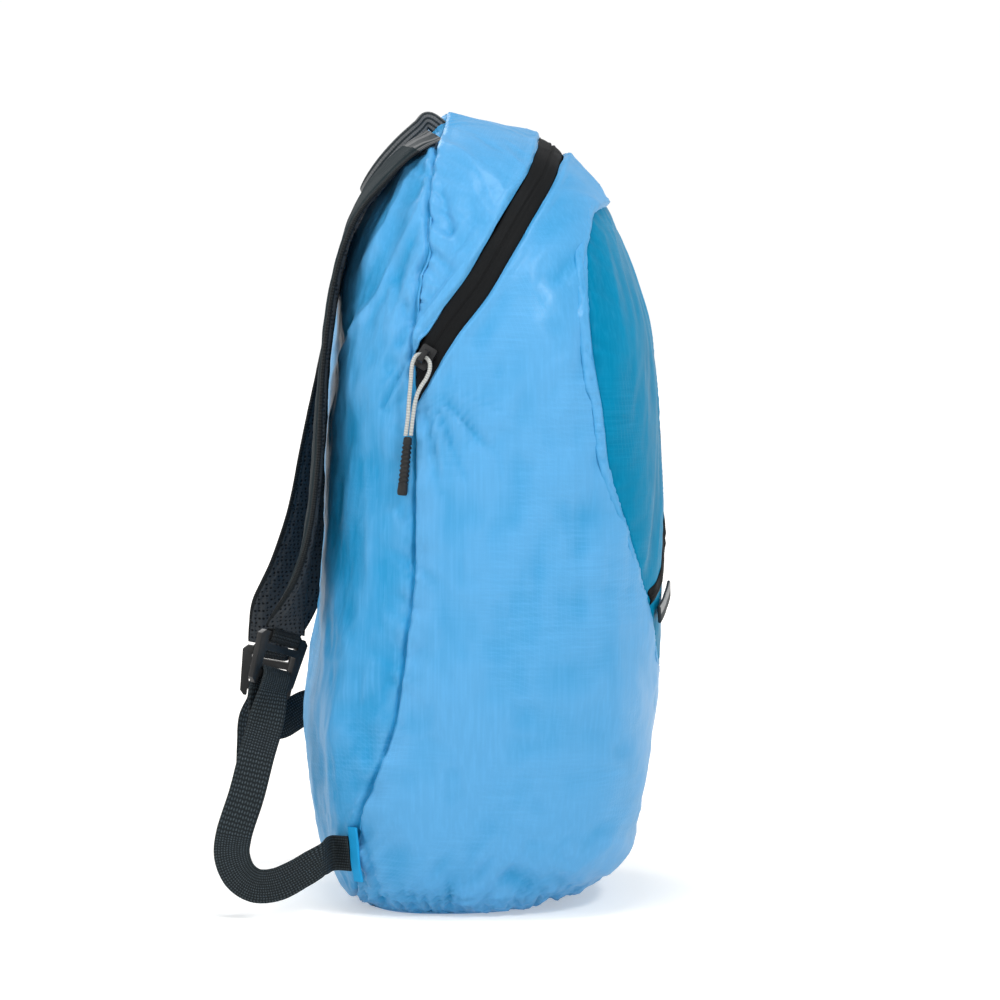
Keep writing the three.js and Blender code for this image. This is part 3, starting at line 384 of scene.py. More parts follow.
def along_table(table, at):
    """Values of every column at fractional rows: a cubic through each
    row, with half its neighbours' step as slope."""
    at = np.asarray(at, float)
    low = np.clip(np.floor(at).astype(int), 0, len(table) - 2)
    part = (at - low)[..., None]
    rows = np.vstack([2 * table[0] - table[1], table, 2 * table[-1] - table[-2]])
    before, first, second, after = (rows[low + i] for i in range(4))
    p2, p3 = part**2, part**3
    return (
        (2 * p3 - 3 * p2 + 1) * first
        + (p3 - 2 * p2 + part) * (second - before) / 2
        + (3 * p2 - 2 * p3) * second
        + (p3 - p2) * (after - first) / 2
    )


def smooth_line(points, count):
    """A line of evenly spaced points on the cubic through given ones."""
    fine = along_table(np.asarray(points, float), np.linspace(0, len(points) - 1, 40 * len(points)))
    length = np.concatenate([[0], np.cumsum(np.linalg.norm(np.diff(fine, axis=0), axis=1))])
    at = np.linspace(0, length[-1], count)
    return np.stack([np.interp(at, length, fine[:, i]) for i in range(fine.shape[1])], axis=1)


def unit(vectors):
    return vectors / np.maximum(np.linalg.norm(vectors, axis=-1, keepdims=True), TINY)


# Rows and columns of random numbers under the noise, which repeats after them.
LATTICE = 64


def drift(seed, u, v):
    """Smooth noise from -1 to 1: random numbers on a whole-number
    lattice, eased between by a fifth-degree curve."""
    lattice = np.random.default_rng(seed).uniform(-1, 1, (LATTICE, LATTICE))
    u, v = np.broadcast_arrays(np.asarray(u, float), np.asarray(v, float))
    iu, iv = np.floor(u).astype(int), np.floor(v).astype(int)
    fu, fv = u - iu, v - iv
    fu, fv = (f**3 * (f * (6 * f - 15) + 10) for f in (fu, fv))
    near_u, far_u = iu % LATTICE, (iu + 1) % LATTICE
    near_v, far_v = iv % LATTICE, (iv + 1) % LATTICE
    near = lattice[near_u, near_v] * (1 - fu) + lattice[far_u, near_v] * fu
    far = lattice[near_u, far_v] * (1 - fu) + lattice[far_u, far_v] * fu
    return near * (1 - fv) + far * fv


def two_drifts(seed, u, v):
    """Noise plus half as much of a finer, turned one, which hides the lattice."""
    return (drift(seed, u, v) + 0.5 * drift(seed + 1, 1.9 * u + 0.8 * v, 1.9 * v - 0.8 * u)) / 1.3


def ridges(seed, u, v):
    """Sharp crests between round hollows: one less 2.4 times the size of the noise."""
    return 1 - 2.4 * np.abs(two_drifts(seed, u, v))


def halve(rising, low, high, steps=26):
    """Where a rising function of an array crosses zero, by halving the span again and again."""
    for _ in range(steps):
        middle = (low + high) / 2
        below = rising(middle) < 0
        low, high = np.where(below, middle, low), np.where(below, high, middle)
    return (low + high) / 2


def grid_normals(points):
    """Unit normals of a grid of points, from the cross product of its two directions."""
    across = np.gradient(points, axis=1)
    along = np.gradient(points, axis=0)
    crossed = np.cross(along, across)
    normals = unit(crossed)
    weak = np.linalg.norm(crossed, axis=-1) < TINY
    rows = np.where(weak.any(axis=1))[0]
    for row in rows:
        near = 1 if row < len(points) / 2 else len(points) - 2
        normals[row] = normals[near]
    return normals


def distance_to_line(y, z, line):
    """Shortest distance of points to a broken line, both in one plane."""
    start, step = line[:-1], np.diff(line, axis=0)
    best = np.full(y.shape, 1e9)
    for (y0, z0), (dy, dz) in zip(start, step):
        part = np.clip(((y - y0) * dy + (z - z0) * dz) / (dy * dy + dz * dz + 1e-18), 0, 1)
        best = np.minimum(best, np.hypot(y - y0 - part * dy, z - z0 - part * dz))
    return best


def new_mesh(name, points, faces, uv=None, slots=None):
    """A mesh object at the origin. uv gives a pair of numbers for every corner of every face, in order."""
    mesh = bpy.data.meshes.new(name)
    mesh.from_pydata(np.asarray(points, float).tolist(), [], [list(face) for face in faces])
    if uv is not None:
        mesh.uv_layers.new(name="cloth").data.foreach_set("uv", np.asarray(uv, np.float32).ravel())
    if slots is not None:
        mesh.polygons.foreach_set("material_index", np.asarray(slots, np.int32))
    mesh.polygons.foreach_set("use_smooth", np.ones(len(mesh.polygons), bool))
    mesh.update()
    piece = bpy.data.objects.new(name, mesh)
    bpy.context.scene.collection.objects.link(piece)
    return piece


def grid_faces(rows, columns, wrap=False):
    """Four-cornered faces of a grid, and the row and column of each
    corner. With wrap the last column meets the first."""
    last = columns if wrap else columns - 1
    r, c = np.meshgrid(np.arange(rows - 1), np.arange(last), indexing="ij")
    corners = np.array([(r, c), (r, c + 1), (r + 1, c + 1), (r + 1, c)])
    corners = corners.transpose(2, 3, 0, 1).reshape(-1, 4, 2)
    return corners[..., 0] * columns + corners[..., 1] % columns, corners


def keep_painted_shade(piece, painted_shade):
    """Stores at each point how much painted shade it takes, more in folds and creases."""
    layer = piece.data.attributes.new("painted_shade", "FLOAT", "POINT")
    layer.data.foreach_set("value", painted_shade.astype(np.float32).ravel())


def sheet_mesh(name, points, uv, outward, painted_shade=None):
    """An open sheet from a grid of points that faces the way of the
    outward vectors, with its painted shade in the folds as an attribute."""
    rows, columns = points.shape[:2]
    faces, corners = grid_faces(rows, columns)
    facing = (grid_normals(points) * outward).sum(axis=-1).mean()
    if facing > 0:
        faces, corners = faces[:, ::-1], corners[:, ::-1]
    corner_uv = uv[corners[..., 0], corners[..., 1]]
    piece = new_mesh(name, points.reshape(-1, 3), faces, corner_uv)
    if painted_shade is not None:
        keep_painted_shade(piece, painted_shade)
    return piece


def tube_mesh(name, rings, uv_size, slots=None, painted_shade=None):
    """A closed solid through rings of points, with flat ends. uv_size
    is the length and the girth for its map."""
    rows, columns = rings.shape[:2]
    faces, corners = grid_faces(rows, columns, wrap=True)
    uv = corners / np.array([rows - 1, columns]) * np.array(uv_size)
    uv = uv[..., ::-1]
    ends = [list(range(columns))[::-1], list(range((rows - 1) * columns, rows * columns))]
    flat = rings.reshape(-1, 3)
    middle = flat.mean(axis=0)
    a, b, c = (flat[faces[:, i]] - middle for i in range(3))
    d = flat[faces[:, 3]] - middle
    volume = (a * np.cross(b, c)).sum() + (a * np.cross(c, d)).sum()
    end_uv = [np.zeros((columns, 2)), np.zeros((columns, 2))]
    all_faces = [list(face) for face in faces] + ends
    all_uv = list(uv) + end_uv
    if volume < 0:
        all_faces = [face[::-1] for face in all_faces]
        all_uv = [face_uv[::-1] for face_uv in all_uv]
    face_slots = None if slots is None else np.concatenate([np.asarray(slots), [0, 0]])
    piece = new_mesh(name, flat, all_faces, np.concatenate(all_uv), face_slots)
    if painted_shade is not None:
        keep_painted_shade(piece, painted_shade)
    return piece


def finish_piece(piece, material, *nodes, slot, extra=()):
    """Gives a piece its material, its place on the part and the nodes it stands for; slot, the finish it
    takes, is not used.
    """
    for each in (material, *extra):
        piece.data.materials.append(each)
    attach(piece, "root")
    if nodes:
        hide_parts(*nodes)
    return piece


def thicken(piece, thickness):
    """A wall of even thickness, inwards from the outer face."""
    wall = piece.modifiers.new("wall", "SOLIDIFY")
    wall.thickness = thickness
    wall.offset = -1
    return piece


# The bag's skin


def line_in_metres(table):
    return table * np.array([sizes().depth, sizes().height])


def plain_folds(sideways, square, rise, reach):
    """How far the cloth stands out of its plain section: a bell for each large
    fold, and a pinch with gathers at the back seam."""
    turn = np.arcsin(np.clip(np.sign(sideways) * np.abs(sideways) ** (square / 2), -1, 1)) / TURN
    out = np.zeros(np.broadcast(turn, rise).shape)
    for fold_turn, fold_rise, across, along, slant, depth in FOLDS:
        a = (rise - fold_rise) / along
        b = (turn - fold_turn - slant * (rise - fold_rise)) / across
        out = out + depth * sizes().depth * np.exp(-a * a - b * b)
    seam = np.interp(rise, BACK_SEAM[:, 1], BACK_SEAM[:, 0]) * sizes().depth
    side = 1 - np.abs(sideways) ** square
    pinch = np.exp(-(((reach - seam) / SEAM_PINCH_REACH) ** 2)) * np.minimum(1, side * 4)
    gather = GATHER_DEPTH * np.sin(TURN * rise * sizes().height / GATHER_PITCH)
    ends = np.clip(np.minimum(12 * rise, 8 * (1 - rise)), 0, 1)
    return (out + pinch * (gather - SEAM_PINCH)) * ends


def section_point(row, polar, folded=True):
    """A point of the skin. Each section is a rounded box outline, a power curve of its two half sizes,
    tilted between its back and its front; polar goes round it from +X by +Y in turns."""
    value = dict(zip(SECTION_COLUMNS, np.moveaxis(along_table(SECTIONS, row), -1, 0)))
    back = value["back_reach"] * sizes().depth
    front = -value["front_reach"] * sizes().depth
    wide = np.maximum(0, value["half"]) * sizes().width / 2
    power = value["square"]
    cos, sin = np.cos(TURN * polar), np.sin(TURN * polar)
    radius = (np.abs(cos) ** power + np.abs(sin) ** power) ** (-1 / power)
    sideways = sin * radius
    middle = (back + front) / 2
    x = wide * cos * radius
    y = (back - front) / 2 * sideways
    rise = value["front_rise"] + (value["back_rise"] - value["front_rise"]) * (1 + sideways) / 2
    if folded:
        fold = plain_folds(sideways, power, rise, middle + y)
        grow = 1 + fold / np.maximum(np.hypot(x, y), MM)
        x, y = x * grow, y * grow
    return np.stack(np.broadcast_arrays(x, middle + y, rise * sizes().height), axis=-1)


def section_normal(row, polar):
    """Outward direction of the skin, from a short step up and a short step round."""
    up = (
        section_point(np.minimum(TOP_ROW, row + 0.05), polar)
        - section_point(np.maximum(0, row - 0.05), polar)
    )
    round_ = section_point(row, polar + 0.004) - section_point(row, polar - 0.004)
    return unit(np.cross(round_, up))


def row_at_height(polar, z):
    return halve(
        lambda row: section_point(row, polar, False)[..., 2] - z, np.zeros(z.shape), np.full(z.shape, TOP_ROW)
    )


def side_spot(y, z):
    """The row and polar of the right side's skin at a point of the side view."""
    level = lambda polar: section_point(row_at_height(polar, z), polar, False)[..., 1] - y
    polar = halve(level, np.full(y.shape, -0.25), np.full(y.shape, 0.25), 22)
    return row_at_height(polar, z), polar


def front_spot(x, z):
    """The row and polar of the front skin at a point of the front view, on either side of the middle."""
    level = lambda polar: section_point(row_at_height(polar, z), polar, False)[..., 0] - np.abs(x)
    polar = halve(level, np.full(x.shape, -0.25), np.full(x.shape, 0.0), 22)
    row = row_at_height(polar, z)
    return row, np.where(x < 0, -0.5 - polar, polar)


def polar_at_out(row, out, side):
    """The polar of the back half at a share of half the width."""
    value = along_table(SECTIONS, row)
    share = np.minimum(0.98, np.abs(out) / value[..., 4])
    rest = (1 - share ** value[..., 5]) ** (1 / value[..., 5])
    return np.arctan2(rest, side * share) / TURN


def seam_line():
    return along_table(line_in_metres(BACK_SEAM), np.linspace(0, len(BACK_SEAM) - 1, 420))


def zip_lines(width):
    """The main zip's middle, its edge on the body's side and its edge
    on the crown's side, in the side view."""
    middle = along_table(line_in_metres(MAIN_ZIP), np.linspace(0, len(MAIN_ZIP) - 1, 420))
    run = unit(np.gradient(middle, axis=0))
    ahead = np.stack([-run[:, 1], run[:, 0]], axis=1)
    return middle, middle + ahead * width / 2, middle - ahead * width / 2


def seam_polar(row):
    """Where each section meets the back seam on the right side, or a
    quarter turn where it is all ahead of it."""
    seam = seam_line()
    ahead = lambda polar: (
        lambda p: p[..., 1] - np.interp(p[..., 2], seam[:, 1], seam[:, 0])
    )(section_point(row, polar, False))
    return halve(ahead, np.full(row.shape, -0.25), np.full(row.shape, 0.25))


def line_polar(row, line):
    """Where each section rises through a line of the side view that climbs forward."""
    backwards = line[::-1]
    above = lambda polar: (
        lambda p: p[..., 2] - np.interp(p[..., 1], backwards[:, 0], backwards[:, 1])
    )(section_point(row, polar, False))
    return halve(above, np.full(row.shape, -0.25), np.full(row.shape, 0.25))


EDGE_STEPS = np.array([0.0, 0.4, 0.9, 1.6, 2.6, 4.0, 6.0]) * MM


def rows_along(edge, low, high, count):
    """Section rows spaced evenly along a panel's edge, so that the
    edge is smooth where it runs across the bag."""
    dense = np.linspace(low, high, 1600)
    points = section_point(dense, edge(dense), False)
    straight = section_point(dense, np.full(dense.shape, -0.25), False)
    step = (
        np.linalg.norm(np.diff(points, axis=0), axis=1)
        + 0.5 * np.linalg.norm(np.diff(straight, axis=0), axis=1)
    )
    length = np.concatenate([[0], np.cumsum(step)])
    return np.interp(np.linspace(0, length[-1], count), length, dense)


def columns_between(rows, low, high, count, sewn_low, sewn_high):
    """Polar values across each row, evenly spaced by length, with
    close columns next to an edge that is sewn."""
    share = np.linspace(0, 1, 260)
    dense = low[:, None] + (high - low)[:, None] * share
    points = section_point(rows[:, None], dense, False)
    length = np.cumsum(np.linalg.norm(np.diff(points, axis=1), axis=2), axis=1)
    length = np.concatenate([np.zeros((len(rows), 1)), length], axis=1)
    polar = []
    for dense_row, length_row in zip(dense, length):
        total = length_row[-1]
        close = EDGE_STEPS * min(1, total / (30 * MM))
        first = close[-1] if sewn_low else 0.0
        last = total - (close[-1] if sewn_high else 0.0)
        at = np.linspace(first, last, count)
        if sewn_low:
            at = np.concatenate([close[:-1], at])
        if sewn_high:
            at = np.concatenate([at, total - close[:-1][::-1]])
        polar.append(np.interp(at, length_row, dense_row) if total > 1e-9 else np.full(len(at), dense_row[0]))
    return np.array(polar)


def mirrored(points):
    """The same grid on the left side."""
    return points * np.array([-1.0, 1.0, 1.0])


def crease_depth(y, z):
    """Depth of the listed creases at points of the side view: a
    bell across each short line, in metres."""
    depth = np.zeros(y.shape)
    for y0, z0, y1, z1, width, deep in SIDE_CREASES:
        away = distance_to_line(y, z, np.array([(y0, z0), (y1, z1)]) * MM)
        depth = depth + deep * MM * np.exp(-((away / (width * MM)) ** 2))
    return depth


def edge_distances(points):
    """Distances of the skin's points to the back seam and to the zip's edges in the side view."""
    y, z = points[..., 1], points[..., 2]
    seam = distance_to_line(y, z, seam_line()[::6])
    _, body_edge, crown_edge = zip_lines(sizes().zip_width)
    ahead = z > 0.28
    zip_ = np.minimum(distance_to_line(y, z, body_edge[::6]), distance_to_line(y, z, crown_edge[::6]))
    return seam, np.where(ahead, zip_, 1.0)


def cloth_relief(points, panel):
    """How far the stuffed cloth stands off its plain skin, as a sum: soft waves, crests
    that fade away from the back seam, a roll and a tuck at each sewn edge, pulled folds
    below the slider and gathers round the base."""
    x, y, z = points[..., 0], points[..., 1], points[..., 2]
    side = np.clip((np.abs(x) - 70 * MM) / (40 * MM), 0, 1)
    turned = 31 * np.clip((x + 40 * MM) / (80 * MM), 0, 1)
    u, v = y / MM + turned, z / MM
    seam, zip_ = edge_distances(points)
    from_seam = seam / MM
    relief = 1.6 * MM * two_drifts(11, u / 46 + x / (60 * MM), v / 62)
    relief += 0.8 * MM * two_drifts(21, u / 21 + x / (30 * MM), v / 27)
    relief += 0.4 * MM * ridges(25, u / 13 + x / (17 * MM), v / 19)
    relief += 0.5 * MM * ridges(27, (u + 0.25 * v) / 24 + x / (30 * MM), (v - 0.25 * u) / 110)
    behind = -1.0 if panel == "back" else 1.0
    slanted = v + behind * 0.6 * from_seam
    pucker = ridges(31, slanted / 8.5 + turned, from_seam / 40)
    small = ridges(35, slanted / 4.6 + turned, from_seam / 25)
    upper = np.clip((v - 235) / 50, 0, 1)
    fade = np.exp(-from_seam / 12) * np.clip(v / 60, 0, 1)
    relief += (0.8 + 0.4 * upper) * MM * pucker * fade * np.clip(from_seam / 2, 0.25, 1)
    relief += (0.4 + 0.15 * upper) * MM * small * np.exp(-from_seam / 5)
    relief += 1.0 * MM * np.exp(-(((from_seam - 3.2) / 2.2) ** 2)) * (0.6 + 0.4 * small)
    relief -= 2.4 * MM * np.exp(-((from_seam / 1.1) ** 2))
    lip = np.exp(-(((zip_ - 2.8 * MM) / (1.9 * MM)) ** 2))
    relief += 0.8 * MM * lip * (1 + 0.4 * drift(41, (u - v) / 9, 0.0))
    relief -= 1.6 * MM * np.exp(-((zip_ / (1.1 * MM)) ** 2))
    relief += 0.5 * MM * ridges(45, (u + v) / 7, zip_ / (30 * MM)) * np.exp(-zip_ / (9 * MM)) * (zip_ < 0.9)
    if panel == "back":
        streak = ridges(51, (u + 0.55 * v) / 15, (v - 0.55 * u) / 70)
        relief += 1.3 * MM * streak * np.clip((v - 262) / 60, 0, 1) * np.clip((u + 10) / 40, 0, 1)
        relief += (
            0.8 * MM * ridges(55, (u - 0.12 * v) / 17, v / 90) * np.clip((190 - np.abs(v - 150)) / 90, 0, 1)
        )
    if panel == "crown":
        relief += (
            1.7 * MM * ridges(61, (u + 0.7 * v) / 15, (v - 0.6 * u) / 60) * np.clip((412 - v) / 40, 0, 1)
        )
    if panel == "body":
        reach = np.hypot(v - 300, u - 31 - turned)
        angle = np.arctan2(v - 300, u - 31 - turned)
        fan = ridges(71, 7 * angle + 40, turned) * np.exp(-(((reach - 26) / 26) ** 2))
        relief += 1.5 * MM * fan * np.clip((296 - v) / 20, 0, 1) * side
        relief += 0.5 * MM * ridges(75, u / 8, v / 95) * np.exp(-(((v - 230) / 90) ** 2))
        low = np.clip((80 - v) / 60, 0, 1)
        relief += 1.4 * MM * ridges(81, (u - v) / 19, (u + v) / 50) * low * np.clip((20 - u) / 60, 0, 1)
        relief += 1.0 * MM * ridges(83, (u + 0.8 * v) / 15, (v - u) / 55) * low
        around = np.arctan2(y, x) * 52
        relief += 1.7 * MM * ridges(85, around, v / 30) * np.exp(-(((v - 8) / 10) ** 2))
        edge = pocket_edge_distance(x, z)
        front = np.clip(-(y + 40 * MM) / (30 * MM), 0, 1)
        yoke = np.exp(-((np.maximum(edge, 0) / (20 * MM)) ** 2)) * np.clip((edge + 1.5 * MM) / MM, 0, 1)
        relief += 2.6 * MM * yoke * front * np.clip((z - 0.35) / 0.02, 0, 1)
        relief += (
            0.8 * MM * ridges(91, v / 9, np.abs(edge) / (30 * MM)) * np.exp(-np.abs(edge) / (10 * MM)) * front
        )
        relief += 5.0 * MM * np.exp(-(((v - 20) / 16) ** 2)) * np.clip((-y / MM - 46) / 30, 0, 1)
        covered = np.clip((-edge - 0.6 * MM) / (2 * MM), 0, 1) * np.clip(-y / (40 * MM), 0, 1)
        relief = relief * (1 - covered) - 1.0 * MM * covered
    relief -= side * crease_depth(y, z) * np.where(x < 0, 1.0, 0.7)
    return relief * np.clip(v / 5, 0, 1) * np.clip((452 - v) / 22, 0.25, 1)


def pocket_outline(count=400):
    """The pocket's closed outline in the front view, evenly spaced from its low tip by the right side."""
    edge = POCKET_EDGE * np.array([sizes().width / 2, sizes().height])
    right = along_table(edge, np.linspace(0, len(edge) - 1, 500))
    whole = np.vstack([right, (right * np.array([-1, 1]))[::-1][1:]])
    length = np.concatenate([[0], np.cumsum(np.linalg.norm(np.diff(whole, axis=0), axis=1))])
    at = np.linspace(0, length[-1], count)
    return np.stack([np.interp(at, length, whole[:, i]) for i in range(2)], axis=1)


def pocket_edge_distance(x, z):
    """Distance outside the pocket's edge in the front view, negative inside it."""
    outline = pocket_outline(90)
    away = distance_to_line(np.abs(x), z, outline)
    right = outline[: len(outline) // 2]
    inside = np.zeros(x.shape, bool)
    for (x0, z0), (x1, z1) in zip(right[:-1], right[1:]):
        crosses = (z0 > z) != (z1 > z)
        meet = x0 + (z - z0) * (x1 - x0) / (z1 - z0 + TINY)
        inside ^= crosses & (np.abs(x) > meet)
    between = (z > right[:, 1].min()) & (z < right[:, 1].max())
    return np.where(between & ~inside, -away, away)


def panel_map(points):
    """Map coordinates in metres: length across each row from its middle, and length down each column."""
    across = np.cumsum(np.linalg.norm(np.diff(points, axis=1, prepend=points[:, :1]), axis=2), axis=1)
    across = across - across[:, across.shape[1] // 2][:, None]
    along = np.cumsum(np.linalg.norm(np.diff(points, axis=0, prepend=points[:1]), axis=2), axis=0)
    return np.stack([across, along], axis=-1)


def body_edge_polar(row):
    _, body_edge, _ = zip_lines(sizes().zip_width)
    return np.minimum(seam_polar(row), line_polar(row, body_edge))


def crown_edge_polar(row):
    _, _, crown_edge = zip_lines(sizes().zip_width)
    return line_polar(row, crown_edge)


class DAYPACK_OT_camera(bpy.types.Operator):
    """Places the camera where the picture was taken from, level with the
    pack's middle and looking at its left side"""

    bl_idname = "daypack.camera"
    bl_label = "Camera"

    def execute(self, context):
        lens = bpy.data.cameras.new("camera")
        lens.lens = 150.26
        lens.sensor_width = 36.0
        lens.clip_end = 100
        camera = bpy.data.objects.new("camera", lens)
        context.scene.collection.objects.link(camera)
        camera.location = (-2.3967, -0.0115, 0.3502)
        look = Vector((0.0, -0.0115, 0.2246)) - camera.location
        camera.rotation_euler = look.to_track_quat("-Z", "Y").to_euler()
        context.scene.camera = camera
        return {"FINISHED"}


def zip_surface(rows, lift):
    """The zip's tape between its two edges on the right side, mirrored over the crown: a low arch across
    it, tucked in at both edges, with two ribs beside a slit along its middle."""
    low = body_edge_polar(rows)
    high = np.minimum(crown_edge_polar(rows), seam_polar(rows))
    share = np.linspace(0, 1, 27)
    polar = low[:, None] + (high - low)[:, None] * share
    right = section_point(rows[:, None], polar)
    middle, _, _ = zip_lines(sizes().zip_width)
    away = distance_to_line(right[..., 1], right[..., 2], middle[::5]) / (sizes().zip_width / 2)
    seam = distance_to_line(right[..., 1], right[..., 2], seam_line()[::6])
    arch = 1.1 * MM * (1 - np.clip(away, 0, 1.1) ** 4) - 1.1 * MM
    ribs = 0.5 * MM * np.exp(-(((away - 0.17) / 0.1) ** 2)) - 0.5 * MM * np.exp(-((away / 0.05) ** 2))
    tuck = -1.6 * MM * np.exp(-((seam / (2.2 * MM)) ** 2))
    wave = 0.25 * MM * two_drifts(101, right[..., 1] / (12 * MM), right[..., 2] / (12 * MM))
    return right, arch + ribs + tuck + wave + lift


class DAYPACK_OT_body(bpy.types.Operator):
    """Sews the main body, the back panel and the crown from thin cloth, with seams, puckers and folds"""

    bl_idname = "daypack.body"
    bl_label = "Body, back and crown"

    def execute(self, context):
        cloth = cloth_material("bag_cloth", colours().cloth, colours().cloth_shaded, 0.2)
        rows = rows_along(body_edge_polar, 0.0, last_row(body_edge_polar), 214)
        front = np.full(rows.shape, -0.25)
        body, points = panel_points(rows, front, body_edge_polar(rows), 102, False, True, "body", "low")
        base = points[0][None] * 1.0
        middle = np.array([0.0, base[..., 1].mean(), 0.0])
        share = np.linspace(0, 1, 10)[:-1, None, None]
        body = np.concatenate([middle + (body[0][None] - middle) * share, body])
        points = np.concatenate([middle + (base - middle) * share, points])
        piece = relief_sheet("main_body_cloth", body, points, 0.12)
        thicken(piece, sizes().wall)
        finish_piece(piece, cloth, "main_body", slot="body_cloth")

        dense = np.linspace(0, TOP_ROW, 1200)
        free = dense[seam_polar(dense) < 0.2495]
        rows = rows_along(seam_polar, free[0], free[-1], 214)
        back = np.full(rows.shape, 0.25)
        panel, points = panel_points(
            rows, np.minimum(seam_polar(rows), 0.25), back, 92, True, False, "back", "high"
        )
        # Painted shade on the back panel, darker towards the bottom: 0.8 of the way to the shaded blue low
        # down, 0.35 high up.
        depth = np.interp(points[..., 2], [0.22, 0.36], [0.8, 0.35])
        piece = relief_sheet("back_panel_cloth", panel, points, depth)
        thicken(piece, sizes().wall)
        finish_piece(piece, cloth, "back_panel", slot="body_cloth")

        dense = np.linspace(0, TOP_ROW, 1600)
        rows = dense[crown_edge_polar(dense) < seam_polar(dense) - 0.0005]
        rows = np.interp(np.linspace(0, 1, 190), np.linspace(0, 1, len(rows)), rows)
        right, plain = crown_half(rows)
        whole = np.concatenate([right, mirrored(right)[-2::-1]])
        points = np.concatenate([plain, mirrored(plain)[-2::-1]])
        piece = relief_sheet("crown_cloth", whole, points, 0.08)
        weld(piece)
        thicken(piece, sizes().wall)
        finish_piece(piece, cloth, "top_panel", slot="body_cloth")
        return {"FINISHED"}


def last_row(edge):
    dense = np.linspace(0, TOP_ROW, 1600)
    return dense[edge(dense) > -0.2495][-1]


def crown_half(rows):
    polar = columns_between(rows, crown_edge_polar(rows), seam_polar(rows), 60, True, True)
    plain = section_point(rows[:, None], polar)
    plain[np.abs(plain[..., 0]) < 1e-5, 0] = 0.0
    return raised(plain, "crown"), plain


def raised(plain, panel):
    """Points moved off the plain skin along its normals by the cloth's relief."""
    normals = grid_normals(plain)
    outward = plain - np.array([0.0, 0.0, 0.22])
    if (normals * outward).sum(axis=-1).mean() < 0:
        normals = -normals
    middle = np.abs(plain[..., 0]) < 1e-6
    normals[middle, 0] = 0.0
    relief = cloth_relief(plain, panel)
    placed = plain + normals * relief[..., None]
    placed[..., 2] = np.maximum(placed[..., 2], 0.0)
    return placed


def panel_points(rows, low, high, count, sewn_low, sewn_high, panel, join):
    """A panel's raised points and its plain ones: its right half between two
    edges of each section, then mirrored over the join."""
    polar = columns_between(rows, low, high, count, sewn_low, sewn_high)
    right = section_point(rows[:, None], polar)
    if join == "low":
        right[:, 0, 0] = 0.0
        whole = np.concatenate([mirrored(right)[:, :0:-1], right], axis=1)
    else:
        right[:, -1, 0] = 0.0
        whole = np.concatenate([right, mirrored(right)[:, -2::-1]], axis=1)
    return raised(whole, panel), whole


def relief_sheet(name, placed, plain, depth):
    """A cloth sheet with its map and its painted shade: depth sets how much the whole panel takes, and it is
    darker where the cloth lies below the plain skin.
    """
    gap = placed - plain
    outward = plain - np.array([0.0, 0.0, 0.22])
    relief = np.linalg.norm(gap, axis=-1) * np.sign((gap * outward).sum(axis=-1))
    painted_shade = np.clip(depth - (relief - blurred(relief, 8)) / (3.8 * MM), 0, 1)
    return sheet_mesh(name, placed, panel_map(plain), outward, painted_shade)


def blurred(values, reach):
    """Averages over a square of the grid, by running sums along both directions."""
    for axis in (0, 1):
        values = np.moveaxis(values, axis, 0)
        padded = np.pad(values, ((reach + 1, reach), (0, 0)), mode="edge").cumsum(axis=0)
        values = np.moveaxis((padded[2 * reach + 1 :] - padded[: -2 * reach - 1]) / (2 * reach + 1), 0, axis)
    return values


def weld(piece):
    """Joins points that lie on each other, where a sheet's halves meet."""
    edit = bmesh.new()
    edit.from_mesh(piece.data)
    bmesh.ops.remove_doubles(edit, verts=edit.verts, dist=WELD)
    edit.to_mesh(piece.data)
    edit.free()


class DAYPACK_OT_main_zip(bpy.types.Operator):
    """Lays the main zip's black tape over the crown between the two back seams"""

    bl_idname = "daypack.main_zip"
    bl_label = "Main zip"

    def execute(self, context):
        dense = np.linspace(0, TOP_ROW, 2400)
        spans = np.minimum(crown_edge_polar(dense), seam_polar(dense)) - body_edge_polar(dense)
        rows = dense[spans > 0.0004]
        rows = rows_along(crown_edge_polar, rows[0], rows[-1], 300)
        plain, lift = zip_surface(rows, -0.35 * MM)
        plain[-1, :, 0] = 0.0
        plain[body_edge_polar(rows) < -0.2495, 0, 0] = 0.0
        normals = grid_normals(plain)
        if (normals * (plain - np.array([0, 0, 0.22]))).sum(axis=-1).mean() < 0:
            normals = -normals
        normals[np.abs(plain[..., 0]) < 1e-6, 0] = 0.0
        right = plain + normals * lift[..., None]
        uv = panel_map(plain)
        outward = plain - np.array([0.0, 0.0, 0.22])
        halves = []
        for word, points, away in (("right", right, outward), ("left", mirrored(right), mirrored(outward))):
            halves.append(sheet_mesh("main_zip_tape_" + word, points, uv, away))
        with context.temp_override(active_object=halves[0], selected_editable_objects=halves):
            bpy.ops.object.join()
        piece = halves[0]
        piece.name = "main_zip_tape"
        weld(piece)
        thicken(piece, 1.0 * MM)
        tape = tape_material("zip_tape", colours().tape)
        finish_piece(piece, tape, "main_zip", slot="zip_tape")
        return {"FINISHED"}


def pocket_relief(x, z, inside):
    """How far the pocket's cloth stands off the skin: full in the middle, puckered along its edge."""
    outline_run = np.arctan2(z - 0.26, x)
    pucker = two_drifts(201, outline_run * 30, 0.0 * x)
    fade = np.exp(-inside / (9 * MM))
    relief = 0.9 * MM * (1 - np.exp(-inside / (6 * MM)))
    relief += 1.1 * MM * pucker * fade * np.clip(inside / (1.5 * MM), 0, 1)
    relief += 1.0 * MM * two_drifts(211, x / (48 * MM), z / (70 * MM)) * (1 - fade)
    relief += 0.9 * MM * ridges(221, (x - 0.5 * z) / (18 * MM), z / (70 * MM)) * (1 - fade)
    relief -= 0.8 * MM * np.exp(-((inside / (0.9 * MM)) ** 2))
    return relief


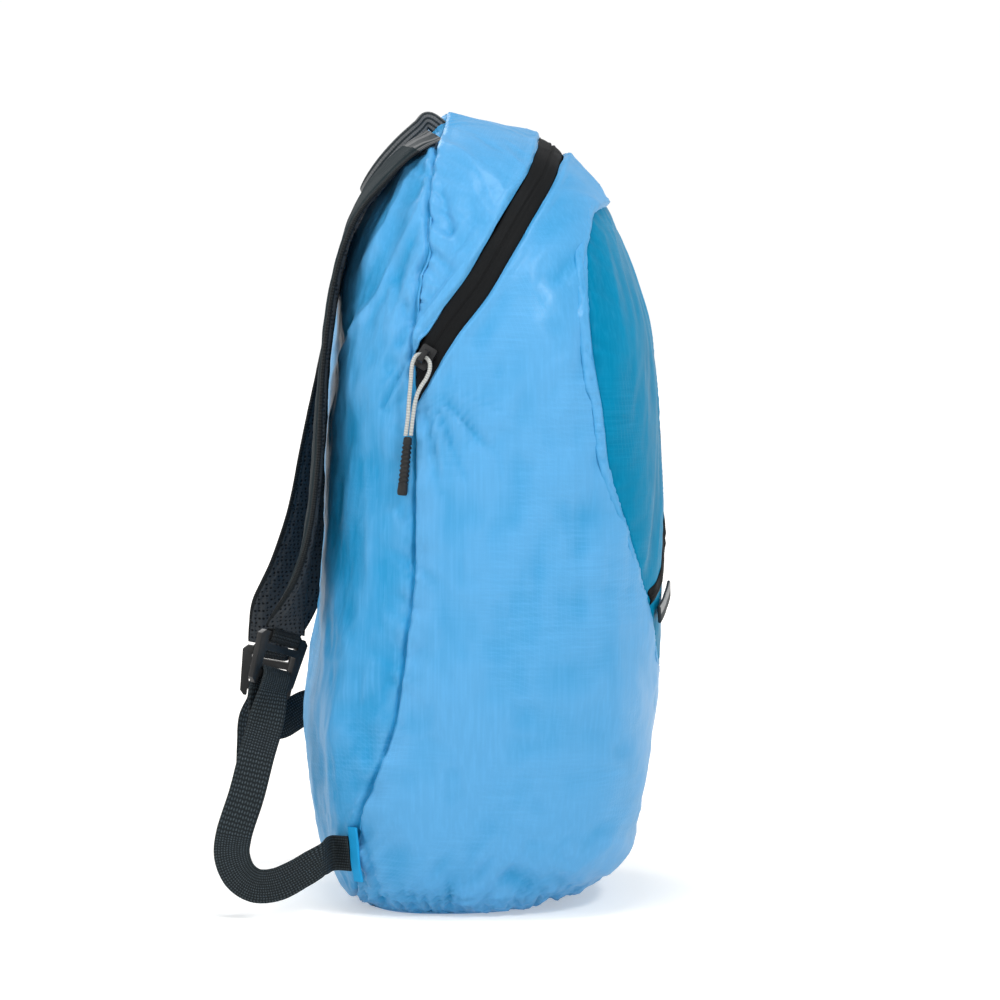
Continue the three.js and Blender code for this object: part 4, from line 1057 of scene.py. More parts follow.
class DAYPACK_OT_pocket(bpy.types.Operator):
    """Sews the shield-shaped pocket on the front, full in its middle and puckered round its edge"""

    bl_idname = "daypack.pocket"
    bl_label = "Front pocket"

    def execute(self, context):
        outline = pocket_outline(280)[:-1]
        outline = np.vstack([outline, outline[:1]])
        centre = np.array([0.0, 0.6 * sizes().height])
        share = 1 - np.linspace(1, 0, 62) ** 1.7
        flat = centre + (outline - centre) * share[:, None, None]
        x, z = flat[..., 0], flat[..., 1]
        row, polar = front_spot(x, z)
        plain = section_point(row, polar)
        normals = section_normal(row, polar)
        inside = distance_to_line(x, z, outline[::3])
        relief = pocket_relief(x, z, inside)
        placed = plain + normals * (relief + 0.5 * MM)[..., None]
        placed[:, -1] = placed[:, 0]
        uv = np.stack([x, z], axis=-1)
        # Painted shade on the pocket: about half way to the shaded blue, darker where the cloth lies lower.
        painted_shade = np.clip(0.55 - relief / (6 * MM), 0, 1)
        piece = sheet_mesh("front_pocket_cloth", placed, uv, normals, painted_shade)
        weld(piece)
        thicken(piece, sizes().wall)
        # The pocket's darker blue is painted shade.
        cloth = cloth_material("pocket_cloth", colours().pocket, colours().pocket_shaded, 0.03)
        finish_piece(piece, cloth, "front_pocket", slot="pocket_cloth")
        add_pocket_welt(cloth_material("welt_cloth", colours().cloth, colours().cloth_shaded, 0.2))
        return {"FINISHED"}


def front_band(line, width, across, lift):
    """A band along a line of the front view, laid on the pocket: points, outward directions and its map."""
    run = unit(np.gradient(line, axis=0))
    side = np.stack([-run[:, 1], run[:, 0]], axis=1)
    share = np.linspace(-0.5, 0.5, across)
    flat = line[:, None] + side[:, None] * (share[None, :, None] * width)
    row, polar = front_spot(flat[..., 0], flat[..., 1])
    normals = section_normal(row, polar)
    inside = distance_to_line(flat[..., 0], flat[..., 1], pocket_outline(140))
    stand = pocket_relief(flat[..., 0], flat[..., 1], inside) + 0.5 * MM
    points = section_point(row, polar) + normals * (stand + lift)[..., None]
    length = np.cumsum(np.linalg.norm(np.gradient(line, axis=0), axis=1))
    uv = np.stack(np.broadcast_arrays(share[None] * width, length[:, None]), axis=-1)
    return points, normals, uv, share


def add_pocket_welt(material):
    """The body cloth's rolled edge beside the pocket's seam: a low
    round welt, fuller and puckered on the sides."""
    outline = pocket_outline(720)[:-1]
    centre = np.array([0.0, 0.6 * sizes().height])
    run = unit(np.roll(outline, -1, axis=0) - np.roll(outline, 1, axis=0))
    out = np.stack([run[:, 1], -run[:, 0]], axis=1)
    if ((outline - centre) * out).sum() < 0:
        out = -out
    share = np.linspace(0, 1, 11)
    around = np.arange(len(outline)) / len(outline)
    upper = np.clip((outline[:, 1] / sizes().height - 0.5) / 0.1, 0, 1)
    width = (3.2 + 1.8 * upper) * MM * (1 + 0.16 * drift(231, around * 90, 0 * around))
    flat = outline[:, None] + out[:, None] * (share[None, :, None] * width[:, None, None] - 0.5 * MM)
    row, polar = front_spot(flat[..., 0], flat[..., 1])
    normals = section_normal(row, polar)
    pucker = 1 + 0.35 * ridges(235, around[:, None] * 170, share[None] * 2)
    height = (0.7 + 0.9 * upper)[:, None] * MM * np.sin(np.pi * share[None]) ** 0.7 * pucker + 0.2 * MM
    placed = section_point(row, polar) + normals * height[..., None]
    placed = np.concatenate([placed, placed[:1]])
    normals = np.concatenate([normals, normals[:1]])
    # Painted shade on the welt: darker where it lies low beside the seam.
    painted_shade = np.clip(0.75 - height / (2 * MM), 0, 1)
    painted_shade = np.concatenate([painted_shade, painted_shade[:1]])
    piece = sheet_mesh("pocket_welt", placed, panel_map(placed), normals, painted_shade)
    weld(piece)
    thicken(piece, 1.0 * MM)
    finish_piece(piece, material, slot="body_cloth")


class DAYPACK_OT_front_zip(bpy.types.Operator):
    """Lays the slanted zip on the pocket and folds the light-striped tab at its low end"""

    bl_idname = "daypack.front_zip"
    bl_label = "Front zip and tab"

    def execute(self, context):
        shares = np.array([sizes().width / 2, sizes().height])
        line = smooth_line(FRONT_ZIP * shares, 150)
        across = np.linspace(-0.5, 0.5, 17)
        lift = 0.9 * MM * (1 - (2 * across) ** 4) + 0.25 * MM
        lift = lift + 0.45 * MM * np.exp(-(((np.abs(across) - 0.12) / 0.07) ** 2))
        lift = lift - 0.5 * MM * np.exp(-((across / 0.04) ** 2))
        points, normals, uv, _ = front_band(line, sizes().front_zip_width, 17, lift[None])
        piece = sheet_mesh("front_zip_tape", points, uv, normals)
        thicken(piece, 0.9 * MM)
        finish_piece(piece, tape_material("front_zip_tape", colours().tape), "front_zip", slot="zip_tape")

        spots = smooth_line(REFLECTIVE_TAB[:, :2] * shares, 40)
        lifts = np.interp(np.linspace(0, 1, 40), [0, 0.5, 1], REFLECTIVE_TAB[:, 2]) * sizes().depth
        row, polar = front_spot(spots[:, 0], spots[:, 1])
        out = section_normal(row, polar)
        place = section_point(row, polar) + out * (4.6 * MM + lifts)[:, None]
        up = np.repeat(np.array([[0.0, 0.0, 1.0]]), len(place), axis=0)
        rings, uv_size = band_rings(place, up, 10 * MM, 2 * MM, 4)
        piece = tube_mesh("light_tab_webbing", rings, uv_size)
        stripe = stripe_material("light_tab", colours().webbing, colours().light_tab, 1, 0.4)
        finish_piece(piece, stripe, "reflective_tab", slot="reflective")
        return {"FINISHED"}


# Straps and webbing


def framed(place, across):
    """Run, width and thickness directions at each place of a path."""
    run = unit(np.gradient(place, axis=0))
    across = unit(across - run * (across * run).sum(axis=1, keepdims=True))
    return run, across, np.cross(run, across)


def rounded_profile(sides, power):
    """Points of a rounded box of half size one: cosine and sine raised to two over the power."""
    angle = (np.arange(sides) + 0.5) / sides * TURN
    cos, sin = np.cos(angle), np.sin(angle)
    return np.stack(
        [np.sign(cos) * np.abs(cos) ** (2 / power), np.sign(sin) * np.abs(sin) ** (2 / power)], axis=1
    )


def band_profile(width, thickness, across):
    """Outline of a flat band: even steps across both faces and a rounded edge."""
    half, deep = width / 2, thickness / 2
    edge = np.linspace(-np.pi / 2, np.pi / 2, 5)
    right = np.stack([half - deep + deep * np.cos(edge), deep * np.sin(edge)], axis=1)
    inner = np.linspace(half - deep, -half + deep, across + 2)[1:-1]
    top = np.stack([inner, np.full(inner.shape, deep)], axis=1)
    return np.vstack([right, top, -right, -top])


def band_rings(place, across, width, thickness, steps=8):
    """Rings of a flat band carried along a path, and the length and girth of its map."""
    _, across, through = framed(place, across)
    profile = band_profile(width, thickness, steps)
    rings = place[:, None] + across[:, None] * profile[None, :, :1] + through[:, None] * profile[None, :, 1:]
    length = np.linalg.norm(np.diff(place, axis=0), axis=1).sum()
    return rings, (length, 2 * (width + thickness))


def strap_line(table, side, count):
    """The padded strap's stations down the back: place, width direction, half width and half thickness."""
    value = along_table(table, np.linspace(0, len(table) - 1, 25))
    row, out, lift, wide, thick, twist = value.T
    polar = polar_at_out(row, out, side)
    normal = section_normal(row, polar)
    thickness = thick * sizes().strap_thickness
    place = section_point(row, polar) + normal * (STRAP_LIE + thickness / 2)[:, None]
    place[:, 1] += lift * sizes().depth
    step = np.vstack([place[1] - place[0], place[2:] - place[:-2], place[-1] - place[-2]])
    run = unit(step)
    across = unit(np.cross(normal, run))
    angle = np.radians(twist)[:, None]
    turned = across * np.cos(angle) + np.cross(run, across) * np.sin(angle)
    packed = np.hstack([place, turned, (wide * sizes().strap_width / 2)[:, None], (thickness / 2)[:, None]])
    at = np.linspace(0, 24, count)
    fine = along_table(packed, at)
    return fine[:, :3], unit(fine[:, 3:6]), fine[:, 6], fine[:, 7], place, turned


def lock_frame(place, turned, side):
    """The frame of a strap's low end: its middle, the lock's width,
    down its run, and its face away from the bag."""
    down = unit(place[-1] - place[-2])
    across = unit(turned[-1] - down * (turned[-1] * down).sum())
    front = np.cross(down, across)
    along = -across
    if front[0] * side < 0:
        front, along = -front, -along
    return place[-1], along, down, front


def padding_rings(place, across, half_wide, half_thick, seed):
    """The pad as a rounded band: fuller between its edges, with a flat sewn border, a
    shallow channel beside it and soft cross creases where it bends."""
    _, across, through = framed(place, across)
    profile = rounded_profile(88, 4.2)
    u = profile[None, :, 0] * np.ones((len(place), 1))
    v = profile[None, :, 1] * np.ones((len(place), 1))
    length = np.concatenate([[0], np.cumsum(np.linalg.norm(np.diff(place, axis=0), axis=1))])[:, None]
    from_edge = (1 - np.abs(u)) * half_wide[:, None]
    puff = 1 - 0.46 * np.exp(-((from_edge / (3.4 * MM)) ** 2))
    channel = -0.7 * MM * np.exp(-(((from_edge - 4.6 * MM) / (1.0 * MM)) ** 2))
    crease = 0.55 * MM * two_drifts(seed, length / (16 * MM) + 0 * u, u * 2.2 + 9) * (1 - np.abs(u) ** 6)
    ends = np.clip(np.minimum(length, length[-1] - length) / (9 * MM), 0.35, 1)
    depth = v * half_thick[:, None] * puff * ends + np.sign(v) * (np.abs(v) > 0.5) * (channel + crease) * ends
    wave = 1 + 0.012 * two_drifts(seed + 5, length / (40 * MM), 0.0 * length)
    wide = u * half_wide[:, None] * wave
    return place[:, None] + across[:, None] * wide[..., None] + through[:, None] * depth[..., None]


def lower_webbing_path(strap_end, side, run_table, tail_table):
    """The webbing from its free end over the lock's low bar and down to
    the corner, with the direction of its width."""
    origin, along, down, front = strap_end
    scale = np.array([side * sizes().width / 2, sizes().depth, sizes().height])

    def loaded(below, ahead):
        return origin + (down * below + front * ahead) * MM

    off = np.hypot(LOCK_BAR, LOCK_THICKNESS) / 2 + 2 * GAP + sizes().webbing_thickness / MM / 2
    bar = LOW_BAR + LOCK_BAR / 2
    below = LOW_BAR + LOCK_BAR + WEBBING_LEAD
    angle = np.arange(1, TURN_STEPS) / TURN_STEPS * np.pi
    tail = tail_table * scale
    turn = [loaded(below, -off), loaded(bar, -off)]
    turn += [loaded(bar - off * np.sin(a), -off * np.cos(a)) for a in angle]
    turn += [loaded(bar, off), loaded(below, off)]
    run = run_table[:, :3] * scale
    corner, corner_along, corner_down, corner_front = corner_frame(side)
    before = np.vstack([turn[-1], run[:-1]])
    after = np.vstack([run[1:], corner])
    ahead = unit(after - before)
    wide = unit(np.array([1.0, 0.0, 0.0]) - ahead * ahead[:, :1])
    twist = np.radians(run_table[:, 3])[:, None]
    wide = wide * np.cos(twist) + np.cross(ahead, wide) * np.sin(twist)
    rear = 1 if corner_along[1] > 0 else -1
    edge = 3.5 + 3 * GAP
    lead = edge + sizes().webbing_width / MM / 2
    ends = [
        corner + (corner_along * rear * lead + corner_front * 2.2) * MM,
        corner + corner_along * rear * edge * MM
    ]
    place = np.vstack([tail, turn, run, ends])
    across = np.vstack(
        [np.repeat(along[None], len(tail) + len(turn), axis=0), wide, [corner_down, corner_down]]
    )
    for i in range(1, len(across)):
        if (across[i] * across[i - 1]).sum() < 0:
            across[i] = -across[i]
    return place, across


def centripetal(points, per_span):
    """The centripetal curve through points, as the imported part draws
    it: knots spaced by the root of each step."""
    ends = np.vstack([2 * points[0] - points[1], points, 2 * points[-1] - points[-2]])
    knots = np.concatenate(
        [[0], np.cumsum(np.maximum(np.linalg.norm(np.diff(ends, axis=0), axis=1), 1e-9) ** 0.5)]
    )
    pieces = []
    for i in range(1, len(ends) - 2):
        k = knots[i - 1 : i + 3]
        p = ends[i - 1 : i + 3]
        t = np.linspace(k[1], k[2], per_span, endpoint=False)[:, None]
        a1 = ((k[1] - t) * p[0] + (t - k[0]) * p[1]) / (k[1] - k[0])
        a2 = ((k[2] - t) * p[1] + (t - k[1]) * p[2]) / (k[2] - k[1])
        a3 = ((k[3] - t) * p[2] + (t - k[2]) * p[3]) / (k[3] - k[2])
        b1 = ((k[2] - t) * a1 + (t - k[0]) * a2) / (k[2] - k[0])
        b2 = ((k[3] - t) * a2 + (t - k[1]) * a3) / (k[3] - k[1])
        pieces.append(((k[2] - t) * b1 + (t - k[1]) * b2) / (k[2] - k[1]))
    return np.vstack(pieces + [points[-1:]])


def webbing_rings(spots, across, per_span, width, thickness, steps):
    """Rings of a flat band on the curve through the spots, its width turned evenly between theirs."""
    place = centripetal(spots, per_span)
    at = np.linspace(0, len(spots) - 1, len(place))
    wide = np.stack([np.interp(at, np.arange(len(spots)), across[:, i]) for i in range(3)], axis=1)
    return band_rings(place, wide, width, thickness, steps)


def corner_frame(side):
    """The bound tab's middle near the floor, with the directions along the webbing, down and out."""
    rise = CORNER_RISE * sizes().height
    reach = np.interp(CORNER_RISE, BACK_SEAM[:, 1], BACK_SEAM[:, 0]) * sizes().depth
    row, polar = side_spot(np.array([reach]), np.array([rise]))
    if side < 0:
        polar = 0.5 - polar
    normal = section_normal(row, polar)[0]
    down = np.array([0.0, 0.0, -1.0])
    down = unit(down - normal * (down * normal).sum())
    along = unit(np.cross(down, normal))
    origin = section_point(row, polar)[0] + normal * (GAP + 0.8 + 1.6) * MM
    return origin, along, down, normal


class DAYPACK_OT_straps(bpy.types.Operator):
    """Pads and places both shoulder straps, each with its folded end"""

    bl_idname = "daypack.straps"
    bl_label = "Shoulder straps"

    def execute(self, context):
        cloth = strap_material("strap_cloth", colours().strap)
        mesh = spacer_material("strap_mesh", colours().mesh)
        binding = webbing_material("strap_binding", colours().binding, 0.001)
        sewn = stripe_material("strap_webbing", colours().webbing, colours().light, 1.2, 0.5)
        for word, side, table, seed in (("left", -1, LEFT_STRAP, 301), ("right", 1, RIGHT_STRAP, 331)):
            place, across, wide, thick, coarse, turned = strap_line(table, side, 170)
            _, _, through = framed(place, across)
            front = (through * (place - np.array([0.0, 0.0, 0.2]))).sum() > 0
            slim = np.interp(np.linspace(0, 1, len(place)), [0, 0.1, 0.8, 1], [0.95, 0.8, 0.8, 1.0])
            sink = (thick * (1 - slim))[:, None] * (1 if front else -1)
            rings = padding_rings(place - through * sink, across, wide, thick * slim, seed)
            profile = rounded_profile(88, 4.2)
            sides = np.roll(profile, -1, axis=0) + profile
            edge = np.abs(sides[:, 0]) > 1.86
            facing = sides[:, 1] > 0 if front else sides[:, 1] < 0
            kind = np.where(edge, 2, np.where(facing, 0, 1))
            slots = np.tile(kind, len(place) - 1)
            slots[: STRIPED_ROWS * len(kind)] = 3
            length = np.linalg.norm(np.diff(place, axis=0), axis=1).sum()
            piece = tube_mesh("strap_pad_" + word, rings, (length, 0.13), slots)
            finish_piece(
                piece, cloth, "shoulder_strap_" + word, slot="strap_cloth", extra=(mesh, binding, sewn)
            )
            strap_end = lock_frame(coarse, turned, side)
            add_fold(word, strap_end, binding)
        return {"FINISHED"}


def add_fold(word, strap_end, material):
    """The strap's end as a loop of webbing round the lock's top bar:
    a racetrack path with a band's profile."""
    origin, along, down, front = strap_end
    inner = LOCK_THICKNESS / 2 + GAP + FOLD_THICKNESS / 2
    low = LOCK_TOP + LOCK_BAR + GAP + FOLD_THICKNESS / 2
    top = GAP + FOLD_THICKNESS / 2
    radius = 1.6
    spots = []
    for a, cx, cy in (
        (np.linspace(0, np.pi / 2, 7), inner - radius, low - radius),
        (np.linspace(np.pi / 2, np.pi, 7), -inner + radius, low - radius),
        (np.linspace(np.pi, 1.5 * np.pi, 7), -inner + radius, top + radius),
        (np.linspace(1.5 * np.pi, TURN, 7), inner - radius, top + radius),
    ):
        spots.append(np.stack([cx + radius * np.cos(a), cy + radius * np.sin(a)], axis=1))
    ring = np.vstack(spots)
    ring = np.vstack([ring, ring[:1]])
    away = unit(np.roll(ring[:-1], -1, axis=0) - np.roll(ring[:-1], 1, axis=0))
    away = np.vstack([away, away[:1]])
    normal = np.stack([away[:, 1], -away[:, 0]], axis=1)
    width = (22 - 2 * GAP) / 2
    share = np.linspace(-1, 1, 13)
    rounding = 0.5 * FOLD_THICKNESS * (1 - np.abs(share) ** 10)
    outer = ring[:, None] + normal[:, None] * rounding[None, :, None]
    inner_face = ring[:, None] - normal[:, None] * rounding[None, :, None]
    both = np.concatenate([outer, inner_face[:, ::-1][:, 1:-1]], axis=1)
    lies = np.concatenate([share, share[::-1][1:-1]]) * width
    world = (
        origin
        + (along * lies[None, :, None] + down * both[..., 1:] + front * both[..., :1]) * MM
    )
    rows, columns = world.shape[:2]
    faces, corners = grid_faces(rows, columns, wrap=True)
    uv = corners / np.array([rows - 1, columns]) * np.array([0.04, 0.044])
    piece = new_mesh("strap_fold_webbing_" + word, world.reshape(-1, 3), faces, uv[..., ::-1])
    weld(piece)
    outward_faces(piece)
    finish_piece(piece, material, "strap_fold_" + word, slot="strap_cloth")


def outward_faces(piece):
    """Turns every face of a closed shape outwards."""
    edit = bmesh.new()
    edit.from_mesh(piece.data)
    bmesh.ops.recalc_face_normals(edit, faces=edit.faces)
    edit.to_mesh(piece.data)
    edit.free()


class DAYPACK_OT_webbing(bpy.types.Operator):
    """Threads the lower webbing round each lock and sews it into its corner tab, and makes the haul loop"""

    bl_idname = "daypack.webbing"
    bl_label = "Webbing and haul loop"

    def execute(self, context):
        weave = webbing_material("webbing", colours().webbing, 0.0014)
        tab_cloth = tape_material("tab_cloth", colours().cloth_shaded, 0.55)
        for word, side, strap, run, tail in (
            ("left", -1, LEFT_STRAP, LEFT_RUN, LEFT_TAIL),
            ("right", 1, RIGHT_STRAP, RIGHT_RUN, RIGHT_TAIL),
        ):
            _, _, _, _, coarse, turned = strap_line(strap, side, 60)
            strap_end = lock_frame(coarse, turned, side)
            spots, across = lower_webbing_path(strap_end, side, run, tail)
            thickness = sizes().webbing_thickness
            rings, uv_size = webbing_rings(spots, across, 12, sizes().webbing_width, thickness, 14)
            piece = tube_mesh("webbing_" + word, rings, uv_size)
            finish_piece(piece, weave, "lower_webbing_" + word, slot="webbing")
            add_corner_tab(word, side, tab_cloth)
        self.haul_loop()
        return {"FINISHED"}

    def haul_loop(self):
        spots, across = [], []
        for side in (-1, 1):
            row, out = HAUL.T
            polar = polar_at_out(row, out, side)
            normal = section_normal(row, polar)
            lean = np.radians(HAUL_LEAN)
            turned = normal * np.cos(lean) + np.cross([1.0, 0.0, 0.0], normal) * np.sin(lean)
            lift = GAP + 5 * np.cos(lean) + 1
            spots.append(section_point(row, polar) + normal * lift * MM)
            across.append(turned)
        under = np.array([0.0, -9.0, -5.5]) * MM
        spots = np.vstack([spots[0][0] + under, spots[0], spots[1][-2::-1], spots[1][0] + under])
        across = np.vstack([across[0][0], across[0], across[1][-2::-1], across[1][0]])
        rings, uv_size = webbing_rings(spots, across, 14, sizes().haul_width, 2 * MM, 10)
        piece = tube_mesh("haul_loop_webbing", rings, uv_size)
        stripe = stripe_material("haul_webbing", colours().webbing, colours().light, 4, 0.55)
        finish_piece(piece, stripe, "haul_loop", slot="haul_webbing")


def add_corner_tab(word, side, material):
    """The hem that holds the webbing's end: a thin rounded strip that
    follows the corner, with folded edges."""
    origin, along, down, front = corner_frame(side)
    length = np.linspace(-15.5, 15.5, 44)
    bow = 0.5 * np.cos(length / 15.5 * np.pi / 2) - 0.5 + 0.25 * np.sin(length / 3.1)
    place = origin + (down * length[:, None] + front * bow[:, None]) * MM
    wide = np.repeat(along[None], len(place), axis=0)
    rings, uv_size = band_rings(place, wide, 7 * MM, 1.6 * MM, 8)
    piece = tube_mesh("corner_hem_" + word, rings, uv_size)
    finish_piece(piece, material, "corner_tab_" + word, slot="tab_cloth")


class DAYPACK_OT_pull(bpy.types.Operator):
    """Threads the cord loop through the slider's eye into its moulded grip"""

    bl_idname = "daypack.pull"
    bl_label = "Cord pull"

    def execute(self, context):
        route = np.array(SLIDER_EYE) + CORD_ROUTE * np.array([-1, 1, 1]) * MM
        path = centripetal(route, 10)
        run = unit(np.gradient(path, axis=0))
        side = unit(np.cross(run, np.array([1.0, 0.2, 0.1])))
        other = np.cross(run, side)
        angle = np.arange(20) / 20 * TURN
        length = np.concatenate([[0], np.cumsum(np.linalg.norm(np.diff(path, axis=0), axis=1))])
        braid = 1 + 0.05 * np.cos(4 * angle[None] + TURN * length[:, None] / (2.6 * MM)) * np.cos(
            4 * angle[None] - TURN * length[:, None] / (2.6 * MM)
        )
        radius = sizes().cord / 2 * braid
        circle = side[:, None] * np.cos(angle)[None, :, None] + other[:, None] * np.sin(angle)[None, :, None]
        rings = path[:, None] + circle * radius[..., None]
        piece = tube_mesh("pull_cord_braid", rings, (length[-1], 0.0069))
        finish_piece(piece, braid_material("pull_cord", colours().cord), "pull_cord", slot="cord")
        grip = self.grip(route)
        return {"FINISHED"}

    def grip(self, route):
        top = (route[0] + route[-1]) / 2
        lean = unit(np.array([0.0, 0.105, -1.0]))
        top = top + lean * 0.6 * MM
        down = np.concatenate([[0.0, 0.15, 0.8], np.linspace(1.6, 30.4, 110), [31.4, 31.9, 32.0]])
        ribs = np.where((down > 3.5) & (down < 26), 0.34 * np.cos(TURN * (down - 3.5) / 2.5), 0.0)
        radius = 2.35 + 0.03 * down * 0.35 + ribs
        radius = radius + 0.25 * np.exp(-(((down - 30) / 1.6) ** 2))
        radius[0], radius[1], radius[2] = 0.9, 1.7, 2.2
        radius[-1], radius[-2], radius[-3] = 1.4, 2.2, 2.6
        angle = np.arange(36) / 36 * TURN
        side = unit(np.cross(lean, np.array([0.0, 1.0, 0.0])))
        other = np.cross(lean, side)
        circle = (
            side[None, None] * np.cos(angle)[None, :, None] + other[None, None] * np.sin(angle)[None, :, None]
        )
        rings = top + (lean * down[:, None, None] + circle * np.minimum(radius, 2.8)[:, None, None]) * MM
        piece = tube_mesh("pull_grip_ribbed", rings, (0.032, 0.017))
        finish_piece(
            piece, plastic_material("grip_plastic", colours().plastic, 0.5), "pull_grip", slot="black_plastic"
        )
        return piece


class DAYPACK_OT_plastics(bpy.types.Operator):
    """Rounds the edges of the moulded slider and both ladder locks"""

    bl_idname = "daypack.plastics"
    bl_label = "Slider and ladder locks"

    def execute(self, context):
        moulded = plastic_material("moulded_plastic", colours().plastic, 0.36)
        for node, name, bevel in (
            ("main_zip_slider", "zip_slider", 0.4 * MM),
            ("ladder_lock_left", "adjuster_left", 0.7 * MM),
            ("ladder_lock_right", "adjuster_right", 0.7 * MM),
        ):
            piece = rounded_copy(node, name, bevel)
            finish_piece(piece, moulded, node, slot="black_plastic")
        return {"FINISHED"}


def rounded_copy(node, name, bevel):
    """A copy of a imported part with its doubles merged, its flat faces joined and its edges rounded."""
    edit = bmesh.new()
    edit.from_mesh(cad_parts[node].data)
    bmesh.ops.remove_doubles(edit, verts=edit.verts, dist=WELD)
    bmesh.ops.dissolve_limit(edit, angle_limit=np.radians(3), verts=edit.verts, edges=edit.edges)
    mesh = bpy.data.meshes.new(name)
    edit.to_mesh(mesh)
    edit.free()
    piece = bpy.data.objects.new(name, mesh)
    bpy.context.scene.collection.objects.link(piece)
    rounding = piece.modifiers.new("edges", "BEVEL")
    rounding.width = bevel
    rounding.segments = 3
    rounding.angle_limit = np.radians(35)
    rounding.harden_normals = True
    mesh.polygons.foreach_set("use_smooth", np.ones(len(mesh.polygons), bool))
    return piece


# Materials


class Nodes:
    """A material's node tree, with short calls for the nodes that the finishes share."""

    def __init__(self, name):
        self.material = bpy.data.materials.new(name)
        self.material.use_nodes = True
        self.tree = self.material.node_tree
        self.shader = next(n for n in self.tree.nodes if n.type == "BSDF_PRINCIPLED")

    def add(self, kind, **values):
        node = self.tree.nodes.new(kind)
        for key, value in values.items():
            setattr(node, key, value)
        return node

    def link(self, source, target):
        self.tree.links.new(source, target)

    def feed(self, socket, value):
        if isinstance(value, bpy.types.NodeSocket):
            self.link(value, socket)
        else:
            socket.default_value = value

    def math(self, operation, first, second=0.0, third=0.0, clamp=False):
        node = self.add("ShaderNodeMath", operation=operation, use_clamp=clamp)
        for socket, value in zip(node.inputs, (first, second, third)):
            self.feed(socket, value)
        return node.outputs[0]

    def mix(self, factor, first, second):
        node = self.add("ShaderNodeMix", data_type="RGBA")
        self.feed(node.inputs["Factor"], factor)
        self.feed(node.inputs[6], (*first, 1) if isinstance(first, tuple) else first)
        self.feed(node.inputs[7], (*second, 1) if isinstance(second, tuple) else second)
        return node.outputs[2]

    def object_place(self):
        return self.add("ShaderNodeTexCoord").outputs["Object"]

    def scaled_place(self, *scale):
        node = self.add("ShaderNodeVectorMath", operation="MULTIPLY")
        self.link(self.object_place(), node.inputs[0])
        node.inputs[1].default_value = scale
        return node.outputs[0]

    def cloth_map(self):
        split = self.add("ShaderNodeSeparateXYZ")
        self.link(self.add("ShaderNodeUVMap", uv_map="cloth").outputs[0], split.inputs[0])
        return split.outputs[0], split.outputs[1]

    def noise(self, scale, detail=3.0, place=None):
        node = self.add("ShaderNodeTexNoise")
        node.inputs["Scale"].default_value = scale
        node.inputs["Detail"].default_value = detail
        self.link(place or self.object_place(), node.inputs["Vector"])
        return node.outputs["Fac"]

    def span(self, value, low, high, to_low=0.0, to_high=1.0):
        node = self.add("ShaderNodeMapRange")
        node.inputs["From Min"].default_value = low
        node.inputs["From Max"].default_value = high
        node.inputs["To Min"].default_value = to_low
        node.inputs["To Max"].default_value = to_high
        self.link(value, node.inputs["Value"])
        return node.outputs[0]

    def lines(self, along, pitch, width):
        """One on thin evenly spaced lines and zero between them."""
        at = self.math("FRACT", self.math("DIVIDE", along, pitch))
        away = self.math("ABSOLUTE", self.math("SUBTRACT", at, 0.5))
        return self.span(away, width / pitch / 2, width / pitch, 1.0, 0.0)

    def wave(self, along, pitch=1.0):
        """A sine wave from -1 to 1 that starts again after each pitch."""
        return self.math("SINE", self.math("MULTIPLY", along, TURN / pitch))

    def bump(self, height, distance, strength=1.0, under=None):
        node = self.add("ShaderNodeBump")
        node.inputs["Strength"].default_value = strength
        node.inputs["Distance"].default_value = distance
        self.link(height, node.inputs["Height"])
        if under is not None:
            self.link(under, node.inputs["Normal"])
        return node.outputs[0]

    def finish(self, colour, roughness, normal=None, sheen=0.0, specular=0.5):
        self.feed(self.shader.inputs["Base Color"], colour)
        self.feed(self.shader.inputs["Roughness"], roughness)
        self.shader.inputs["Sheen Weight"].default_value = sheen
        self.shader.inputs["Sheen Roughness"].default_value = 0.4
        self.shader.inputs["Specular IOR Level"].default_value = specular
        if normal is not None:
            self.link(normal, self.shader.inputs["Normal"])
        return self.material


# Pitch and width of the cloth's reinforcing threads.
RIPSTOP_PITCH = 2.6 * MM
RIPSTOP_WIDTH = 0.3 * MM


def paler(colour, gain, lift):
    """The colour made lighter by a factor and a small amount, with no channel over one."""
    return tuple(min(1.0, gain * c + lift) for c in colour)


